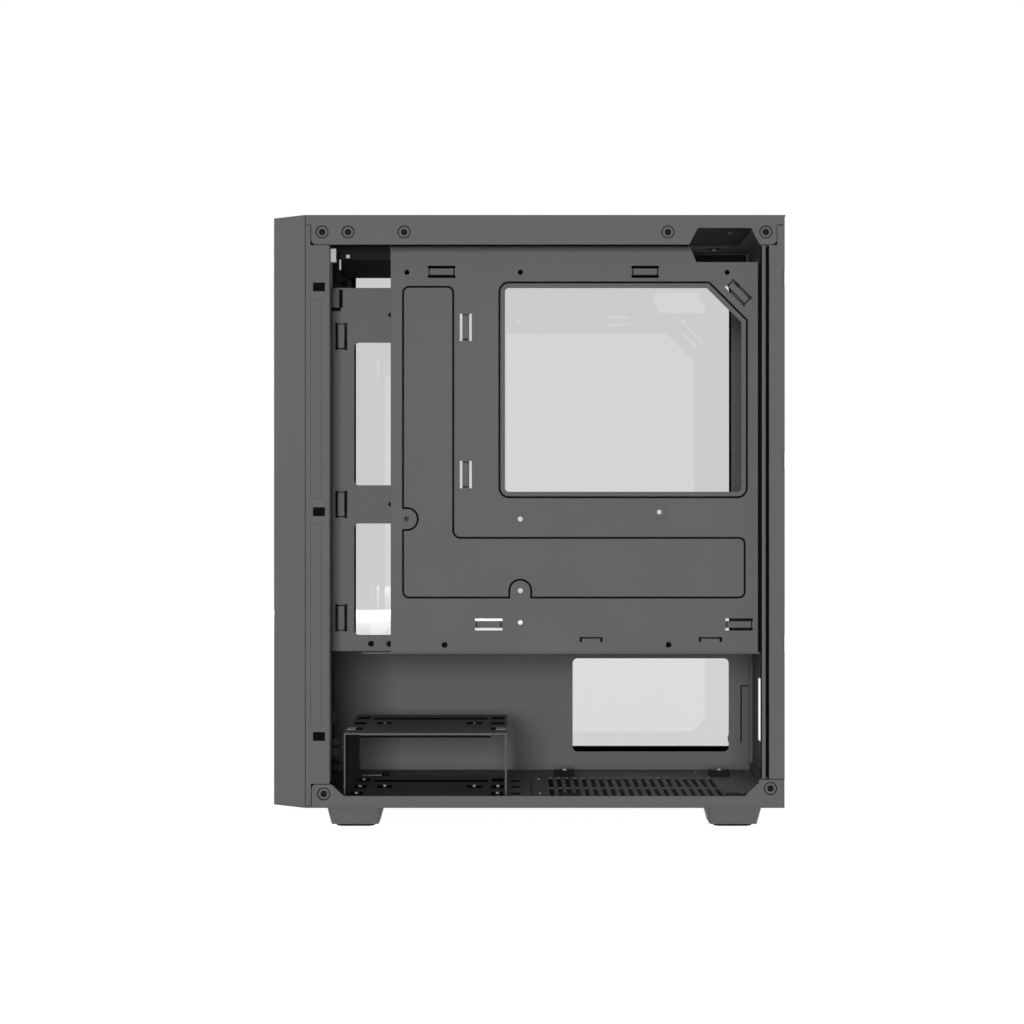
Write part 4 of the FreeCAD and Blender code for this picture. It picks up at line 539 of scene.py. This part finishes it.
def make_cage_shades():
    """Painted shade in the drive cage's slots and beside its folds, and the bright tabs on top."""
    thick = 0.1
    work = bmesh.new()
    for z in (CAGE_TOP, CAGE_FLOOR):
        for row in CAGE_SLOT_ROWS:
            for inward in CAGE_SLOTS:
                x = RIGHT - inward
                add_block(work, (x - 8.5, row - 4.0, z), (x + 8.5, row + 4.0, z + thick))
        for row in WINGED_ROWS:
            for side in (-1, 1):
                y = row + side * 3.0
                add_block(work, (8.6, y - 2.2, z), (22.6, y + 2.2, z + thick))
            add_block(work, (12.4, row - 1.0, z), (18.8, row + 1.0, z + thick))
        add_block(work, (-22.0, -111.4, z), (-11.0, -33.6, z + thick))
    # Painted shade on the lip under the top's near edge, and inside the front wall's near edge
    add_block(work, (CAGE_NEAR, -114.5, 54.2), (CAGE_NEAR + 0.15, -30.5, 55.7))
    add_block(work, (CAGE_NEAR - 6.0, CAGE_FRONT + 1.02, 14.6), (CAGE_NEAR - 0.5, CAGE_FRONT + 1.9, 55.0))
    finish_piece("cage_shades", work, painted_shade)
    work = bmesh.new()
    for low, high in ((CAGE_FRONT + 0.3, -118.8), (-27.4, CAGE_REAR - 0.4)):
        add_block(work, (RIGHT - 61.0, low, CAGE_TOP + 0.1), (RIGHT - 47.0, high, CAGE_TOP + 0.3))
    finish_piece("cage_tabs", work, pale_plastic)


def make_bright_heads():
    """Plated screw heads in the cage, on the supply rests and on the floor."""
    work = bmesh.new()
    for inward, y in ((54.0, -118.6), (91.5, -118.6), (129.0, -118.6), (54.0, -26.4), (91.5, -26.4)):
        add_dome(work, (RIGHT - inward, y, CAGE_FLOOR - 0.4), 1.35, 2.1)
    for row in WINGED_ROWS:
        add_dome(work, (WINGED_MIDDLE, row, CAGE_FLOOR), 1.2, 1.7)
        add_dome(work, (WINGED_MIDDLE, row, CAGE_TOP), 0.8, 0.5)
    for y in (19.8, 128.0):
        add_dome(work, (-54.0, y, 17.5), 1.4, 1.4)
    for x, y in ((-33.1, 1.3), (44.6, 1.4), (-74.5, 113.4), (-77.5, 150.5), (41.0, 134.7)):
        add_dome(work, (x, y, FLOOR_TOP), 0.8, 0.8)
    tidy_normals(work)
    finish_piece("bright_heads", work, pale_plastic, True)


def make_painted_floor_shade():
    """Painted shade in slots and along a joint in the floor behind the cage, and in the outline at the supply
    cover's rear end.
    """
    work = bmesh.new()
    for x in (-24.4, 9.1, 44.3):
        add_block(work, (x - 4.0, -18.0, FLOOR_TOP), (x + 4.0, -11.0, FLOOR_TOP + 0.1))
    add_block(work, (-33.0, -4.2, FLOOR_TOP), (86.0, -3.8, FLOOR_TOP + 0.1))
    # Painted shade in the pressed outline at the supply cover's rear end
    near, far = COVER_WALL + 0.05, COVER_WALL + 0.2
    add_block(work, (near, 146.9, 33.0), (far, 147.8, 74.0))
    add_block(work, (near, 146.9, 73.2), (far, 152.6, 74.0))
    finish_piece("painted_floor_shade", work, painted_shade)


def make_front_fittings():
    """Plugs and clips between the front post and the cable plate, a dark plate of painted shade over the port
    bracket's face, and painted shade on the port bracket's underside.
    """
    work = bmesh.new()
    add_block(work, (97.0, -131.4, 355.9), (103.0, -127.9, 364.3))
    add_block(work, (88.0, -132.9, 340.6), (91.0, -131.7, 356.2))
    add_block(work, (88.0, -126.8, 352.4), (90.0, -125.8, 358.9))
    add_block(work, (84.6, -122.6, 360.2), (88.0, -120.3, 362.2))
    add_block(work, (-55.0, -122.0, FLOOR_TOP), (-52.0, -108.2, FLOOR_TOP + 0.9))
    finish_piece("front_plugs", work, pale_plastic)
    work = bmesh.new()
    add_block(work, (88.0, -131.4, 64.5), (92.0, -129.4, 71.2))
    add_block(work, (88.0, -131.4, 50.6), (93.0, -126.6, 54.2))
    add_block(work, (88.0, -131.4, 43.2), (93.0, -127.0, 48.6))
    # A dark plate of painted shade over the port bracket's face
    add_block(work, (83.4, -130.6, 359.6), (84.2, -95.2, 371.9))
    add_disc(work, (-53.5, -105.6, FLOOR_TOP + 1.6), 2.5, 3.2, "z", 16)
    finish_piece("front_clips_and_shade", work, port_plastic)
    work = bmesh.new()
    # Painted shade on the port bracket's underside
    add_block(work, (-20.2, -132.4, 359.5), (83.4, -95.0, 359.95))
    finish_piece("bracket_shade", work, painted_shade)


# Profile of a glass screw's head: in from its outer face, share of its radius, and whether it is knurled
KNOB_PROFILE = [
    (1.2, 0.42, False), (0.0, 0.42, False), (0.0, 0.86, False), (0.6, 0.94, True), (5.2, 0.985, True),
    (5.9, 0.9, False), (5.9, 0.3, False), (14.0, 0.285, False)]
KNURL_COUNT = 56
KNURL_SHARE = 0.965


def make_screw_knobs():
    """Knurled heads of the four glass screws, with a hollow in the middle and the shank behind."""
    for number in range(1, 5):
        node = "glass_screw_%d" % number
        low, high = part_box(node)
        middle = (low + high) / 2
        radius = (high.z - low.z) / 2
        work = bmesh.new()
        rows = []
        for inward, share, knurled in KNOB_PROFILE:
            ring = []
            for i in range(KNURL_COUNT):
                turn = 2 * math.pi * i / KNURL_COUNT
                reach = radius * share * (KNURL_SHARE if knurled and i % 2 else 1.0)
                ring.append(work.verts.new((low.x + inward * MM, middle.y + reach * math.cos(turn),
                                            middle.z + reach * math.sin(turn))))
            rows.append(ring)
        for near, far in zip(rows, rows[1:]):
            join_rings(work, near, far)
        work.faces.new(rows[0])
        work.faces.new(rows[-1])
        tidy_normals(work)
        knob = finish_piece("glass_knob_%d" % number, work, black_steel)
        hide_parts(node)


def make_port_details():
    """Tongues in the data ports and bright rings in the sound jacks."""
    work = bmesh.new()
    for number in (1, 2):
        low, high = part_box("data_port_%d" % number)
        low, high = low / MM, high / MM
        add_block(work, (low.x + 1.2, low.y + 2.6, low.z + 2.0), (high.x - 1.2, low.y + 4.6, high.z - 1.2))
    finish_piece("port_tongues", work, port_plastic)
    work = bmesh.new()
    for number in (1, 2):
        low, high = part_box("sound_jack_%d" % number)
        middle = (low + high) / 2 / MM
        add_washer(work, (middle.x, middle.y, high.z / MM - 0.35), 1.95, 2.6, 0.7, "z")
    tidy_normals(work)
    finish_piece("jack_rings", work, nickel)


def make_cover_screws():
    """Two screws in the shelf over the slot covers' tabs."""
    work = bmesh.new()
    low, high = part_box("tab_cover")
    for share in (0.12, 0.88):
        z = (low.z + (high.z - low.z) * share) / MM
        add_disc(work, (low.x / MM + 4.0, (low.y + high.y) / 2 / MM, z), 2.9, 0.9, "x", 24)
    finish_piece("cover_screws", work, black_steel)


def make_glass_edge_shade():
    """A dark strip inside the glass side's upper edge, painted shade under the roof's rail."""
    work = bmesh.new()
    inside = LEFT + 1.02
    add_block(work, (inside, FRONT + 15.0, 371.4), (inside + 0.2, BACK - 3.0, TOP - 1.7))
    finish_piece("glass_edge_shade", work, soft_rubber)


def make_roof_bosses():
    """Winged bosses under the roof, seen through the rail's cut-out: a dark plate of painted shade under each
    one's wings, and its bright head.
    """
    wing_shade = bmesh.new()
    heads = bmesh.new()
    under = TOP - 1.0
    for x, y in ((34.8, 127.0), (-65.4, 125.6)):
        # Painted shade under the wings
        add_block(wing_shade, (x - 3.0, y - 4.8, under - 0.2), (x + 3.0, y + 4.8, under))
        add_disc(heads, (x, y, under - 0.8), 1.4, 1.4, "z", 16)
    finish_piece("roof_boss_shade", wing_shade, painted_shade)
    finish_piece("roof_boss_heads", heads, pale_plastic)


# Stage
def backdrop_rays(tree, strength):
    """The strength for what the camera sees, also in gloss and through glass, and none for the part's light."""
    rays = tree.nodes.new("ShaderNodeLightPath")
    total = rays.outputs["Is Camera Ray"]
    for kind in ("Is Glossy Ray", "Is Transmission Ray"):
        join = tree.nodes.new("ShaderNodeMath")
        join.operation = "MAXIMUM"
        tree.links.new(total, join.inputs[0])
        tree.links.new(rays.outputs[kind], join.inputs[1])
        total = join.outputs[0]
    scale = tree.nodes.new("ShaderNodeMath")
    scale.operation = "MULTIPLY"
    scale.inputs[1].default_value = strength
    tree.links.new(total, scale.inputs[0])
    return scale.outputs[0]


def make_floor_plane():
    """A wide floor under the feet, white to the camera."""
    work = bmesh.new()
    bmesh.ops.create_grid(work, x_segments=1, y_segments=1, size=FLOOR_HALF)
    mesh = bpy.data.meshes.new("studio_floor")
    work.to_mesh(mesh)
    work.free()
    material, tree, surface = new_material("studio_floor")
    surface.inputs["Base Color"].default_value = (FLOOR_GREY, FLOOR_GREY, FLOOR_GREY, 1.0)
    surface.inputs["Roughness"].default_value = 0.9
    surface.inputs["Specular IOR Level"].default_value = 0.0
    surface.inputs["Emission Color"].default_value = WHITE
    tree.links.new(backdrop_rays(tree, FLOOR_GLOW), surface.inputs["Emission Strength"])
    mesh.materials.append(material)
    floor = bpy.data.objects.new("studio_floor", mesh)
    bpy.context.scene.collection.objects.link(floor)


def make_sky():
    """An even weak light from all sides, white to the camera."""
    world = bpy.data.worlds.new("studio")
    bpy.context.scene.world = world
    world.use_nodes = True
    tree = world.node_tree
    light = tree.nodes["Background"]
    light.inputs["Color"].default_value = WHITE
    lift = tree.nodes.new("ShaderNodeMath")
    lift.operation = "ADD"
    lift.inputs[1].default_value = SKY_STRENGTH
    tree.links.new(backdrop_rays(tree, 1.0 - SKY_STRENGTH), lift.inputs[0])
    tree.links.new(lift.outputs[0], light.inputs["Strength"])


def add_lamp(name, place, side, power, shine=True):
    """A square soft lamp aimed at the middle of the case, in metres and watts."""
    aim = Vector((0.0, 0.0, 0.2))
    lamp = bpy.data.lights.new(name, "AREA")
    lamp.shape = "SQUARE"
    lamp.size = side
    lamp.energy = power
    holder = bpy.data.objects.new(name, lamp)
    holder.location = place
    holder.rotation_euler = (aim - Vector(place)).to_track_quat("-Z", "Y").to_euler()
    holder.visible_camera = False
    holder.visible_glossy = shine
    holder.visible_transmission = False
    bpy.context.scene.collection.objects.link(holder)


def make_lamps():
    """A key beside the camera, kept out of the glass's mirror image, and four fills."""
    add_lamp("key", (4.2, -0.3, 0.36), 1.0, 147.0, shine=False)
    add_lamp("front_fill", (0.2, -3.0, 0.5), 1.2, 10.0)
    add_lamp("back_fill", (-0.6, 3.0, 0.32), 0.6, 26.0)
    add_lamp("left_fill", (-3.0, -0.3, 0.32), 0.6, 26.0)
    add_lamp("top_fill", (-0.8, -0.4, 2.9), 1.6, 18.0)


def make_camera():
    """The photo's camera."""
    camera = bpy.data.cameras.new("photo_view")
    camera.lens = CAMERA_LENS
    camera.sensor_width = SENSOR
    camera.clip_start = 0.05
    camera.clip_end = 60.0
    holder = bpy.data.objects.new("photo_view", camera)
    holder.location = ((RIGHT + CAMERA_AWAY) * MM, CAMERA_BACK * MM, CAMERA_UP * MM)
    holder.rotation_euler = (math.pi / 2, 0.0, math.pi / 2)
    bpy.context.scene.collection.objects.link(holder)
    bpy.context.scene.camera = holder


dress_nodes()
make_glass_border()
make_painted_tie_shade()
make_painted_line_shade()
make_dimple_shade_and_screws()
make_post_shades()
make_painted_tray_shade()
make_cage_shades()
make_bright_heads()
make_painted_floor_shade()
make_front_fittings()
make_screw_knobs()
make_port_details()
make_cover_screws()
make_glass_edge_shade()
make_roof_bosses()
make_floor_plane()
make_sky()
make_lamps()
make_camera()
bpy.context.scene.view_settings.view_transform = "Standard"
